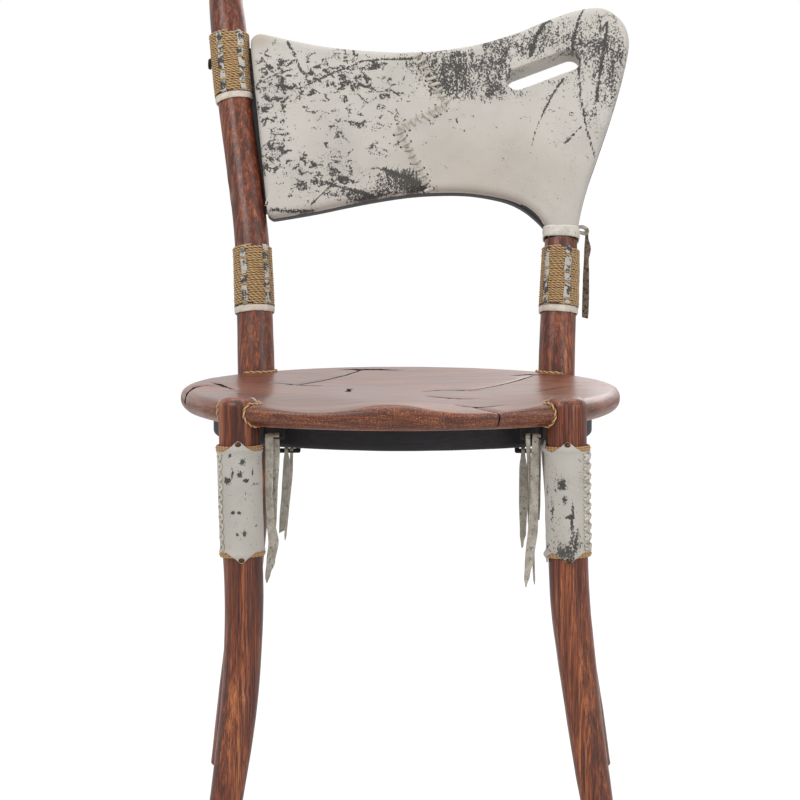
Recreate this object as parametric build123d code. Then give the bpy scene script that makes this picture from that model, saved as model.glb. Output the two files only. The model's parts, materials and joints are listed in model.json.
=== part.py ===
from build123d import *
import math
import os

# Carved chair with a hide-covered back, in millimetres.
# X runs across the seat, the sitter looks along -Y, and the floor is at Z = 0.
# Left and right are named as somebody standing in front of the chair sees them.

# Seat plank
SEAT_CENTRE = (-4.5, 4.0)
SEAT_HALF_WIDTH = 240.5
SEAT_HALF_DEPTH = 236.0
SEAT_TOP = 465.0
SEAT_THICKNESS = 25.0
SEAT_EDGE_RADIUS = 12.0
DISH_DEPTH = 6.0
DISH_REACH = 195.0
THIGH_HOLLOW_DEPTH = 8.0
THIGH_HOLLOW_RADIUS = 210.0
THIGH_HOLLOW_X = 112.0
THIGH_HOLLOW_TILT = 1.7

# Cord trim that fills the gap round each leg, and the clearance between wrapped pieces
FIT = 0.4
NOTCH_GAP = 3.2
TRIM_PROUD = 1.2
TRIM_DEPTH = 4.0

# Black board under the seat
BOARD_CENTRE = (-2.0, 0.0)
BOARD_HALF_WIDTH = 207.0
BOARD_HALF_DEPTH = 166.0
BOARD_THICKNESS = 28.0
BOARD_EDGE_RADIUS = 6.0
SCREW_COUNT = 6
SCREW_SHANK = 5.0
SCREW_HEAD = 10.0
SCREW_HEAD_DEPTH = 3.0
SCREW_BITE = 12.0

# Carved poles, each a list of stations from the top down: x, y, z and diameter
FRONT_LEFT_LEG = (
    (-172.8, -165.0, 466.0, 43.0),
    (-172.2, -165.2, 430.0, 43.0),
    (-171.6, -165.6, 396.0, 43.0),
    (-170.0, -166.5, 330.0, 42.4),
    (-167.5, -169.0, 250.0, 41.4),
    (-171.5, -174.0, 160.0, 39.6),
    (-181.5, -181.0, 78.0, 37.0),
    (-193.0, -189.0, 0.0, 33.0),
)
FRONT_RIGHT_LEG = (
    (171.6, -165.0, 466.0, 43.2),
    (172.0, -165.2, 430.0, 43.2),
    (172.5, -165.6, 396.0, 43.2),
    (173.6, -166.5, 330.0, 42.6),
    (176.8, -169.0, 250.0, 42.2),
    (187.8, -174.0, 160.0, 39.4),
    (199.5, -181.0, 78.0, 36.2),
    (212.0, -189.0, 0.0, 32.0),
)
LEFT_POST = (
    (-211.5, 299.0, 886.0, 39.0),
    (-208.0, 288.0, 852.0, 40.0),
    (-202.5, 270.0, 796.0, 39.6),
    (-194.0, 249.0, 732.0, 39.0),
    (-184.5, 228.0, 668.0, 38.6),
    (-177.5, 209.0, 610.0, 39.6),
    (-173.0, 187.0, 522.0, 41.6),
    (-171.3, 175.6, 472.0, 42.3),
    (-171.0, 170.6, 428.0, 42.2),
    (-172.8, 170.6, 380.0, 41.0),
    (-180.0, 180.0, 270.0, 38.0),
    (-191.0, 191.0, 160.0, 35.0),
    (-202.5, 203.0, 78.0, 33.0),
    (-213.0, 213.0, 0.0, 30.0),
)
RIGHT_POST = (
    (177.3, 210.0, 612.0, 37.4),
    (175.8, 200.0, 575.0, 39.4),
    (173.5, 186.5, 522.0, 41.0),
    (171.8, 175.6, 472.0, 42.1),
    (172.0, 170.6, 428.0, 42.0),
    (174.2, 170.6, 380.0, 41.0),
    (182.5, 180.0, 270.0, 38.0),
    (196.0, 191.0, 160.0, 35.0),
    (210.5, 203.0, 78.0, 33.0),
    (223.0, 213.0, 0.0, 30.0),
)
FOOT_ROUNDING = 3.5
LEG_TOP_ROUNDING = 4.0

# Dowels that hold the poles in the notches
LEG_DOWEL = 12.0
LEG_DOWEL_LENGTH = 72.0

# Back panel, in its own plane: u runs along X and v up the lean from the neck's foot
PANEL_ORIGIN = (0.0, 210.0, 612.0)
PANEL_LEAN = 18.0
PANEL_THICKNESS = 34.0
PANEL_BOW = 4.0
PANEL_HEIGHT = 275.0
RIM_RADIUS = 7.0
SLOT_LIP = 3.0
HIDE = 1.6
SLOT_ENDS = ((127.1, 186.0), (188.4, 210.0))
SLOT_RADIUS = 12.4
NECK_LEFT = 158.4
NECK_RIGHT = 196.2
SEAM = ((5.9, 225.0), (46.4, 154.7), (-9.9, 124.8), (4.5, 98.0), (27.5, 50.0), (28.0, 0.0))
STITCH_LENGTH = 11.0
STITCH_WIDTH = 3.4
STITCH_HEIGHT = 1.2
STITCH_PITCH = 9.4

# Fixings of the panel
BOLT_HEIGHT = 812.0
BOLT = 8.0
BOLT_CAP = 13.0
BOLT_LENGTH = 70.0
BOLT_OFFSET = 2.5
PEG_HEIGHT = 690.0
PEG = 12.0
PEG_LENGTH = 60.0
PEG_OFFSET = 3.2
NECK_PEG = 14.0
NECK_PEG_LENGTH = 70.0
COLLAR = (2.0, 12.5)
COLLAR_WALL = 2.2

# Rope bindings: lower and upper height on the pole
UPPER_BINDING = (775.0, 850.0)
LOWER_LEFT_BINDING = (536.0, 604.0)
LOWER_RIGHT_BINDING = (536.0, 603.0)
ROPE_PROUD = 3.0
ROPE_GROOVE = 0.8
ROPE_TURNS = 13
WEAVE_WIDTH = 7.5
WEAVE_THICKNESS = 1.0
WEAVE_SPACING = 78.0
WEAVE_COUNT = 4
BAND_HEIGHT = 7.0
BAND_WALL = 2.2

# Hide sleeves on the front legs
SLEEVE_TOP = 425.0
SLEEVE_BOTTOM = 296.0
SLEEVE_GAP = 0.9
SLEEVE_WALL = 1.4
SLEEVE_SCALLOP = 12.5
SLEEVE_RING = 2.8
SLEEVE_RING_INSET = 9.4
LACE_COUNT = 10
LACE_PITCH = 10.6
LACE = 2.4
LACE_LENGTH = 13.0
LACE_TURN = 31.0
TACK_HEAD = 6.6
TACK_HEIGHT = 2.6
TACK_SHANK = 2.2
TACK_INSET = 3.7

# Hanging thongs
THONG = 1.8
THONG_CORD = 5.0
THONG_PLAY = 0.35
FRONT_PIVOT = (-158.0, 426.8)
REAR_PIVOT = (-112.0, 406.8)
TIE_PIVOT = (212.0, 621.5)


def along(start, end, amount):
    """Point the given amount of the way from start to end."""
    return tuple(a + (b - a) * amount for a, b in zip(start, end))


def centre_at(stations, z):
    """Centre and diameter of a pole at the height z, on the smooth curve of its stations."""
    heights = [station[2] for station in stations]
    index = next(i for i in range(len(heights) - 1) if heights[i + 1] <= z <= heights[i])
    upper, lower = stations[index], stations[index + 1]
    curve = Spline(*[station[:3] for station in stations])
    high, low = (curve.param_at_point(station[:3]) for station in (upper, lower))
    for _ in range(20):
        middle = (high + low) / 2
        if (curve @ middle).Z > z:
            high = middle
        else:
            low = middle
    point = curve @ middle
    diameter = along(lower, upper, (z - lower[2]) / (upper[2] - lower[2]))[3]
    return point.X, point.Y, z, diameter


def direction_at(stations, index):
    """Upward direction of a pole at one of its stations; the ends on the floor are level."""
    above = Vector(*stations[max(index - 1, 0)][:3])
    below = Vector(*stations[min(index + 1, len(stations) - 1)][:3])
    return (above - below).normalized()


def pole(stations, grow=0.0, level_top=True):
    """Round carved pole through its stations, grown outwards for a skin round it."""
    sections = []
    last = len(stations) - 1
    for index, (x, y, z, diameter) in enumerate(stations):
        axis = direction_at(stations, index)
        if index == last or (index == 0 and level_top):
            axis = Vector(0, 0, 1)
        plane = Plane(origin=(x, y, z), x_dir=(1, 0, 0), z_dir=axis)
        sections.append(plane * Circle(diameter / 2 + grow))
    return loft(sections)


def round_rim(solid, z, radius):
    """Rounds the circular edge of a pole's end at the height z."""
    rim = solid.edges().filter_by(lambda edge: abs(edge.center().Z - z) < 0.01)
    return fillet(rim, radius)


def leg(stations):
    """Front leg with a softly rounded top and foot."""
    solid = pole(stations)
    solid = round_rim(solid, stations[0][2], LEG_TOP_ROUNDING)
    return round_rim(solid, stations[-1][2], FOOT_ROUNDING)


def domed_post(stations):
    """Tall post that ends in a half round."""
    solid = pole(stations, level_top=False)
    solid += Pos(*stations[0][:3]) * Sphere(stations[0][3] / 2)
    return round_rim(solid, stations[-1][2], FOOT_ROUNDING)


def neck_post(stations):
    """Short post, cut square to the lean of the panel that stands on it."""
    solid = pole(stations, level_top=False)
    cap = panel_plane() * Pos(180, 25, 0) * Box(120, 50, 120)
    solid = solid - cap
    return round_rim(solid, stations[-1][2], FOOT_ROUNDING)


def plate(grow=0.0):
    """Seat plank before carving: an oval plate with a round edge."""
    thickness = SEAT_THICKNESS + 2 * grow
    oval = Pos(*SEAT_CENTRE) * Ellipse(SEAT_HALF_WIDTH + grow, SEAT_HALF_DEPTH + grow)
    solid = Pos(0, 0, SEAT_TOP + grow - thickness) * extrude(oval, thickness)
    return fillet(solid.edges(), SEAT_EDGE_RADIUS + grow)


def seat_hollows():
    """Shallow dish of the seat and the two hollows for the thighs."""
    radius = (DISH_REACH**2 + DISH_DEPTH**2) / (2 * DISH_DEPTH)
    x, y = SEAT_CENTRE
    dish = Pos(x, y + 20, SEAT_TOP - DISH_DEPTH + radius) * Sphere(radius)
    front = y - SEAT_HALF_DEPTH
    hollows = []
    for side in (-1, 1):
        log = Cylinder(THIGH_HOLLOW_RADIUS, 300, align=(Align.CENTER, Align.CENTER, Align.MIN))
        place = Pos(x + side * THIGH_HOLLOW_X, front, SEAT_TOP + THIGH_HOLLOW_RADIUS - THIGH_HOLLOW_DEPTH)
        hollows.append(place * Rot(X=-90 + THIGH_HOLLOW_TILT) * log)
    return [dish] + hollows


def notch(stations, gap=NOTCH_GAP):
    """Round cut that takes a pole and the cord trim round it."""
    plane, length = pole_frame(stations, SEAT_TOP - SEAT_THICKNESS, SEAT_TOP)
    diameter = centre_at(stations, SEAT_TOP)[3]
    return plane * Pos(0, 0, length / 2) * Cylinder(diameter / 2 + gap, 3 * length)


def seat_trim(stations):
    """Cord band in the gap between a pole and the rim of its notch."""
    gap = notch(stations) - notch(stations, FIT)
    return (gap & plate(TRIM_PROUD)) - plate(-TRIM_DEPTH)


def leg_dowel(stations):
    """Dowel from the middle of a pole into the seat, pointing at the seat's middle."""
    x, y, z, _ = centre_at(stations, SEAT_TOP - SEAT_THICKNESS / 2)
    inward = Vector(SEAT_CENTRE[0] - x, SEAT_CENTRE[1] - y, 0).normalized()
    plane = Plane(origin=(x, y, z), z_dir=inward)
    return plane * Cylinder(LEG_DOWEL / 2, LEG_DOWEL_LENGTH, align=(Align.CENTER, Align.CENTER, Align.MIN))


def board():
    """Black oval board that stiffens the seat from below."""
    oval = Pos(*BOARD_CENTRE) * Ellipse(BOARD_HALF_WIDTH, BOARD_HALF_DEPTH)
    solid = Pos(0, 0, board_bottom()) * extrude(oval, BOARD_THICKNESS)
    return fillet(solid.edges().group_by(Axis.Z)[0], BOARD_EDGE_RADIUS)


def board_bottom():
    """Height of the board's lower face."""
    return SEAT_TOP - SEAT_THICKNESS - BOARD_THICKNESS


def board_screws():
    """Countersunk screws from the board up into the seat, evenly round the oval."""
    screws = []
    for index in range(SCREW_COUNT):
        angle = math.radians(360 / SCREW_COUNT * (index + 0.5))
        x = BOARD_CENTRE[0] + 0.72 * BOARD_HALF_WIDTH * math.cos(angle)
        y = BOARD_CENTRE[1] + 0.72 * BOARD_HALF_DEPTH * math.sin(angle)
        base = (Align.CENTER, Align.CENTER, Align.MIN)
        shank = Cylinder(SCREW_SHANK / 2, BOARD_THICKNESS + SCREW_BITE, align=base)
        head = Cone(SCREW_HEAD / 2, SCREW_SHANK / 2, SCREW_HEAD_DEPTH, align=base)
        screws.append(Pos(x, y, board_bottom()) * (shank + head))
    return screws


def panel_plane():
    """Plane of the back panel, with its normal towards the sitter."""
    lean = math.radians(PANEL_LEAN)
    return Plane(origin=PANEL_ORIGIN, x_dir=(1, 0, 0), z_dir=(0, -math.cos(lean), math.sin(lean)))


def panel_edges():
    """Edge curves of the panel from the neck's right foot round to its left foot, in tangency."""
    left = Line((-181, 229), (-160, 34))
    shoulder = ThreePointArc((256.5, 226), (249.3, 258), (219, 275.3))
    rising = TangentArc((-181, 229), (-166, 242.6), tangent=(left % 0) * -1)
    top_corner = ThreePointArc(rising @ 1, rising @ 0.5, rising @ 0)
    low_corner = TangentArc((-160, 34), (-147, 24.2), tangent=left % 1)
    right = Spline(
        (NECK_RIGHT, 0), (209.3, 66.5), (225.7, 114.2), (241, 162), (256.5, 226),
        tangents=((0, 1), shoulder % 0),
    )
    top = Spline(
        (219, 275.3), (190, 270), (126, 243.8), (43, 223.3), (-22, 220.8), (-96, 227.5), (-166, 242.6),
        tangents=(shoulder % 1, top_corner % 0),
    )
    bottom = Spline(
        (-147, 24.2), (-104, 32.7), (-31, 49.5), (43, 57.9), (98.5, 53), (136, 38), (NECK_LEFT, 0),
        tangents=(low_corner % 1, (0, -1)),
    )
    return [right, shoulder, top, top_corner, left, low_corner, bottom]


def panel_outline(inset=0.0):
    """Outline of the panel, or that outline moved inwards by an even inset."""
    edges = []
    for edge in panel_edges():
        points = []
        for step in range(9):
            place, heading = edge @ (step / 8), edge % (step / 8)
            points.append((place.X - inset * heading.Y, place.Y + inset * heading.X))
        edges.append(Spline(*points, tangents=(edge % 0, edge % 1)) if inset else edge)
    edges.append(Line(edges[-1] @ 1, edges[0] @ 0))
    return make_face(Wire(edges))


def panel_prism(sketch):
    """Straight prism of a sketch in the panel's plane, through its whole thickness."""
    return extrude(panel_plane() * sketch, PANEL_THICKNESS, both=True)


def slot(grow=0.0):
    """Slanting grab slot with round ends."""
    (u1, v1), (u2, v2) = SLOT_ENDS
    middle = ((u1 + u2) / 2, (v1 + v2) / 2)
    reach = math.dist(*SLOT_ENDS)
    turn = math.degrees(math.atan2(v2 - v1, u2 - u1))
    shape = SlotCenterToCenter(reach, 2 * (SLOT_RADIUS + grow))
    return panel_prism(Pos(*middle) * Rot(Z=turn) * shape)


def bow(v, depth):
    """Point of the panel's bowed section at the height v and the depth w of a flat panel."""
    return (v, depth + 4 * PANEL_BOW * v * (PANEL_HEIGHT - v) / PANEL_HEIGHT**2)


def slab(back, front):
    """Bowed slab between two depths of the panel, wider than the panel."""
    low, middle, high = -12, PANEL_HEIGHT / 2, PANEL_HEIGHT + 12
    face = ThreePointArc(bow(low, front), bow(middle, front), bow(high, front))
    rear = ThreePointArc(bow(low, back), bow(middle, back), bow(high, back))
    ends = [Line(face @ 0, rear @ 0), Line(face @ 1, rear @ 1)]
    section = make_face(Wire([face, rear, *ends]))
    lean = math.radians(PANEL_LEAN)
    x, y, z = PANEL_ORIGIN
    plane = Plane(origin=(x - 230, y, z), x_dir=(0, math.sin(lean), math.cos(lean)), z_dir=(1, 0, 0))
    return extrude(plane * section, 520)


def round_rims(solid, radius, depth, wanted=lambda place: True):
    """Rounds the edges of a bowed face at the given depth, apart from the neck's foot."""
    plane = panel_plane()
    rims = []
    for edge in solid.edges():
        places = [plane.to_local_coords(edge @ share) for share in (0, 0.5, 1)]
        on_face = all(abs(place.Z - bow(place.Y, depth)[1]) < 0.05 for place in places)
        if on_face and max(place.Y for place in places) > 1 and wanted(places[1]):
            rims.append(edge)
    return fillet(rims, radius)


def at_slot(place):
    """Whether a place in the panel's plane is on the rim of the grab slot."""
    (u1, v1), (u2, v2) = SLOT_ENDS
    margin = SLOT_RADIUS + 2 * HIDE
    return u1 - margin < place.X < u2 + margin and v1 - margin < place.Y < v2 + margin


def off_the_post(place):
    """Whether a place in the panel's plane is clear of the side that butts to the post."""
    return place.X > -168 or place.Y > 229.5


def binding_recess():
    """Room in the panel's edge for the binding that runs between it and the post."""
    low = UPPER_BINDING[0] - BAND_HEIGHT - 1
    plane, length = pole_frame(LEFT_POST, low, UPPER_BINDING[1] + 1)
    radius = centre_at(LEFT_POST, sum(UPPER_BINDING) / 2)[3] / 2 + ROPE_PROUD + WEAVE_THICKNESS
    return plane * Cylinder(radius + 0.3, length, align=(Align.CENTER, Align.CENTER, Align.MIN))


def panel_core(post):
    """Black wooden core: full outline behind, hide thickness inset in front, butted to the post."""
    half = PANEL_THICKNESS / 2
    outline = panel_outline()
    tongue = Polygon((-160, 34), (-181, 229), (-200, 229), (-182, 34), align=None)
    rear = panel_prism(outline + tongue) & slab(-half, 0)
    rear = round_rims(rear, RIM_RADIUS, -half, off_the_post)
    front = panel_prism(panel_outline(HIDE)) & slab(0, half - HIDE)
    front = round_rims(front, RIM_RADIUS - HIDE, half - HIDE)
    core = round_rims(rear + front - slot(HIDE), SLOT_LIP, -half, at_slot)
    return core - post - binding_recess()


def hides():
    """The two hides over the front and the front half of the edge, split along the seam."""
    half = PANEL_THICKNESS / 2
    skin = round_rims(panel_prism(panel_outline()) & slab(0, half), RIM_RADIUS, half)
    inside = panel_prism(panel_outline(HIDE)) & slab(-1, half - HIDE)
    skin -= round_rims(inside, RIM_RADIUS - HIDE, half - HIDE)
    lining = slot(HIDE) - slot()
    skin = (skin + (lining & slab(0, half))) - slot()
    skin = round_rims(skin, SLOT_LIP, half, at_slot)
    left_of_seam = Polygon(*SEAM, (-230, 0), (-230, 300), (5.9, 300), align=None)
    cutter = panel_prism(left_of_seam)
    return skin & cutter, skin - cutter


def seam_stitches():
    """Flat cream stitches across the zigzag seam, evenly spaced along it."""
    stitches = []
    half = PANEL_THICKNESS / 2
    for start, end in zip(SEAM, SEAM[1:-1]):
        run = math.dist(start, end)
        count = max(1, round(run / STITCH_PITCH))
        heading = math.degrees(math.atan2(end[1] - start[1], end[0] - start[0]))
        for index in range(count):
            u, v = along(start, end, (index + 0.5) / count)
            if v > 216:
                continue
            depth = bow(v, half)[1]
            bar = Box(STITCH_WIDTH, STITCH_LENGTH, 2 * STITCH_HEIGHT)
            stitches.append(panel_plane() * Pos(u, v, depth) * Rot(Z=heading) * bar)
    skin = slab(0, half)
    return [stitch - skin for stitch in stitches]


def collar():
    """Hide collar round the neck, over the joint with the short post."""
    low, high = COLLAR
    u = (NECK_LEFT + NECK_RIGHT) / 2
    middle = panel_plane() * Pos(u, (low + high) / 2, 0)
    width = NECK_RIGHT - NECK_LEFT + 2 * COLLAR_WALL
    depth = PANEL_THICKNESS + 2 * COLLAR_WALL
    section = RectangleRounded(width, depth, 7)
    ring = middle * Rot(X=-90) * Pos(0, 0, -(high - low) / 2) * extrude(section, high - low)
    half = PANEL_THICKNESS / 2
    neck = panel_prism(panel_outline()) & slab(-half, half)
    return ring - neck


def panel_bolt():
    """Bolt from the outer side of the left post into the panel, with a domed black cap."""
    x, y, z, diameter = centre_at(LEFT_POST, BOLT_HEIGHT)
    outer = x - diameter / 2 - ROPE_PROUD
    shank = Cylinder(BOLT / 2, BOLT_LENGTH, align=(Align.CENTER, Align.CENTER, Align.MIN))
    cap = Cylinder(BOLT_CAP / 2, 3.6, align=(Align.CENTER, Align.CENTER, Align.MAX))
    cap = fillet(cap.edges().group_by(Axis.Z)[0], 2.4)
    return Pos(outer, y + BOLT_OFFSET, z) * Rot(Y=90) * (shank + cap)


def panel_peg():
    """Hidden peg between the left post and the panel."""
    x, y, z, _ = centre_at(LEFT_POST, PEG_HEIGHT)
    return Pos(x - 6, y + PEG_OFFSET, z) * Rot(Y=90) * Cylinder(PEG / 2, PEG_LENGTH, align=(Align.CENTER, Align.CENTER, Align.MIN))


def neck_peg():
    """Hidden peg between the short post and the panel's neck."""
    u = (NECK_LEFT + NECK_RIGHT) / 2
    return panel_plane() * Pos(u, 0, 0) * Rot(X=-90) * Cylinder(NECK_PEG / 2, NECK_PEG_LENGTH)


def pole_frame(stations, low, high):
    """Plane at the lower height, square to the pole, with its length to the upper height."""
    start = Vector(*centre_at(stations, low)[:3])
    end = Vector(*centre_at(stations, high)[:3])
    return Plane(origin=start, x_dir=(1, 0, 0), z_dir=(end - start)), (end - start).length


def rope_binding(stations, span, post):
    """Rope wound in close turns round a pole, as one sleeve with a groove between turns."""
    plane, length = pole_frame(stations, *span)
    outer = centre_at(stations, sum(span) / 2)[3] / 2 + ROPE_PROUD
    pitch = length / ROPE_TURNS
    profile = [(10, 0), (outer - ROPE_GROOVE, 0)]
    for turn in range(ROPE_TURNS):
        profile.append((outer, pitch * (turn + 0.5)))
        profile.append((outer - ROPE_GROOVE, pitch * (turn + 1)))
    profile.append((10, length))
    section = make_face(Polyline(*profile, close=True))
    sleeve = revolve(Plane.XZ * section, Axis.Z)
    return plane * sleeve - post


def weave_strips(stations, span, first_angle):
    """Hide strips that run up a binding, outside its turns."""
    plane, length = pole_frame(stations, *span)
    inner = centre_at(stations, sum(span) / 2)[3] / 2 + ROPE_PROUD
    strips = []
    for index in range(WEAVE_COUNT):
        angle = first_angle - 90 + index * WEAVE_SPACING
        ring = Circle(inner + WEAVE_THICKNESS) - Circle(inner)
        window = Rot(Z=angle) * Pos(inner, 0) * Rectangle(12, WEAVE_WIDTH)
        strips.append(plane * Pos(0, 0, 1) * extrude(ring & window, length - 2))
    return strips


def leather_band(stations, span, post):
    """Leather band round a pole, just below a binding and square to it."""
    plane, _ = pole_frame(stations, *span)
    outer = centre_at(stations, span[0])[3] / 2 + BAND_WALL
    ring = Cylinder(outer, BAND_HEIGHT, align=(Align.CENTER, Align.CENTER, Align.MAX))
    return plane * ring - post


def sleeve_frame(stations):
    """Plane at a sleeve's lower end, with its length and the widest radius of the pole in it."""
    plane, length = pole_frame(stations, SLEEVE_BOTTOM, SLEEVE_TOP)
    return plane, length, centre_at(stations, SLEEVE_TOP)[3] / 2


def sleeve_rings(stations):
    """Cord rings under the scalloped ends of a sleeve."""
    plane, length, radius = sleeve_frame(stations)
    ring = Torus(radius + SLEEVE_GAP + SLEEVE_RING / 2, SLEEVE_RING / 2)
    return [plane * Pos(0, 0, z) * ring for z in (SLEEVE_RING_INSET, length - SLEEVE_RING_INSET)]


def sleeve_profile(length, radius):
    """Half section of a sleeve: a thin wall that swells over the cord ring near each end."""
    inner = radius + SLEEVE_GAP
    outer = inner + SLEEVE_WALL
    swell = FIT + SLEEVE_RING
    ring = SLEEVE_RING_INSET
    low_inside = [(inner, 0), (inner, ring - 5), (inner + swell, ring - 2.2)]
    low_outside = [(outer, 0), (outer, ring - 6), (outer + swell, ring - 3)]
    turned = [(r, 2 * ring - z) for r, z in reversed(low_inside[1:])]
    turned_out = [(r, 2 * ring - z) for r, z in reversed(low_outside[1:])]
    inside = low_inside + turned
    outside = low_outside + turned_out
    inside += [(r, length - z) for r, z in reversed(inside)]
    outside += [(r, length - z) for r, z in reversed(outside)]
    return make_face(Polyline(*inside, *reversed(outside), close=True))


def leg_sleeve(stations, tacks):
    """Hide sleeve laced round a leg, with scalloped ends that leave four points each."""
    plane, length, radius = sleeve_frame(stations)
    sleeve = revolve(Plane.XZ * sleeve_profile(length, radius), Axis.Z)
    for z in (0, length):
        for quarter in range(4):
            scoop = Pos(0, 0, z) * Rot(Z=45 + 90 * quarter) * Pos(X=25) * Rot(Y=90)
            sleeve -= scoop * Cylinder(SLEEVE_SCALLOP, 30)
    sleeve = plane * sleeve
    for tack in tacks:
        sleeve -= tack
    return sleeve


def sleeve_laces(stations, side):
    """Lacing loops across the sleeve's seam, on its outer side and turned to the front."""
    plane, length, radius = sleeve_frame(stations)
    seam = -LACE_TURN if side > 0 else 180 + LACE_TURN
    reach = radius + SLEEVE_GAP + SLEEVE_WALL + LACE / 2
    low = (length - LACE_PITCH * (LACE_COUNT - 1)) / 2
    lace = Rot(X=90) * Cylinder(LACE / 2, LACE_LENGTH)
    rows = [low + index * LACE_PITCH for index in range(LACE_COUNT)]
    return [plane * Rot(Z=seam) * Pos(reach, 0, row) * lace for row in rows]


def sleeve_tacks(stations):
    """Dome-headed tacks through the front points of a sleeve, past its cord rings."""
    tacks = []
    base = (Align.CENTER, Align.CENTER, Align.MIN)
    for z in (SLEEVE_TOP - TACK_INSET, SLEEVE_BOTTOM + TACK_INSET):
        x, y, _, diameter = centre_at(stations, z)
        head = Cylinder(TACK_HEAD / 2, TACK_HEIGHT, align=base)
        head = fillet(head.edges().group_by(Axis.Z)[-1], TACK_HEIGHT - 0.4)
        shank = Cylinder(TACK_SHANK / 2, 12, align=(Align.CENTER, Align.CENTER, Align.MAX))
        front = y - diameter / 2 - SLEEVE_GAP - SLEEVE_WALL
        tacks.append(Pos(x, front, z) * Rot(X=90) * (head + shank))
    return tacks


def thong_cord(pivot, left, right, underside):
    """Thong stitched into a wood underside, as a staple whose level part carries the strips."""
    y, z = pivot
    radius = THONG_CORD / 2
    level = Pos((left + right) / 2, y, z) * Rot(Y=90) * Cylinder(radius, right - left)
    for x in (left, right):
        riser = Cylinder(radius, underside + 4 - z, align=(Align.CENTER, Align.CENTER, Align.MIN))
        level += Pos(x, y, z) * (riser + Sphere(radius))
    return level


def thong(pivot, hook_x, tip_x, width, tip_z, side=0, loop=4.0):
    """Hide strip that hangs from a cord: a loop round the cord and a blade with a pointed end."""
    y, z = pivot
    inner = THONG_CORD / 2 + THONG_PLAY
    ring = Circle(inner + THONG) - Circle(inner)
    hook = Pos(hook_x - loop / 2, y, z) * extrude(Plane.YZ * ring, loop)
    blade_top = z if side else z - inner - THONG / 2
    full_z = z - 22
    x_full = hook_x + (tip_x - hook_x) * 0.15
    blade = Polygon(
        (hook_x - loop / 2, blade_top), (hook_x + loop / 2, blade_top),
        (x_full + width / 2, full_z), (tip_x + width / 2, tip_z + width),
        (tip_x, tip_z), (tip_x - width / 2, tip_z + 1.4 * width), (x_full - width / 2, full_z),
        align=None,
    )
    depth = side * (inner + THONG / 2)
    return hook + Pos(0, y + depth, 0) * extrude(Plane.XZ * blade, THONG / 2, both=True)


def tie_knot():
    """Knotted end of the collar thong that the tie strip hangs from."""
    y, z = TIE_PIVOT
    start = NECK_RIGHT + COLLAR_WALL
    stem = Pos(start, y, z) * Rot(Y=90) * Cylinder(
        THONG_CORD / 2, 17, align=(Align.CENTER, Align.CENTER, Align.MIN))
    return stem + Pos(start + 17, y, z) * Sphere(4)


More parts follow.
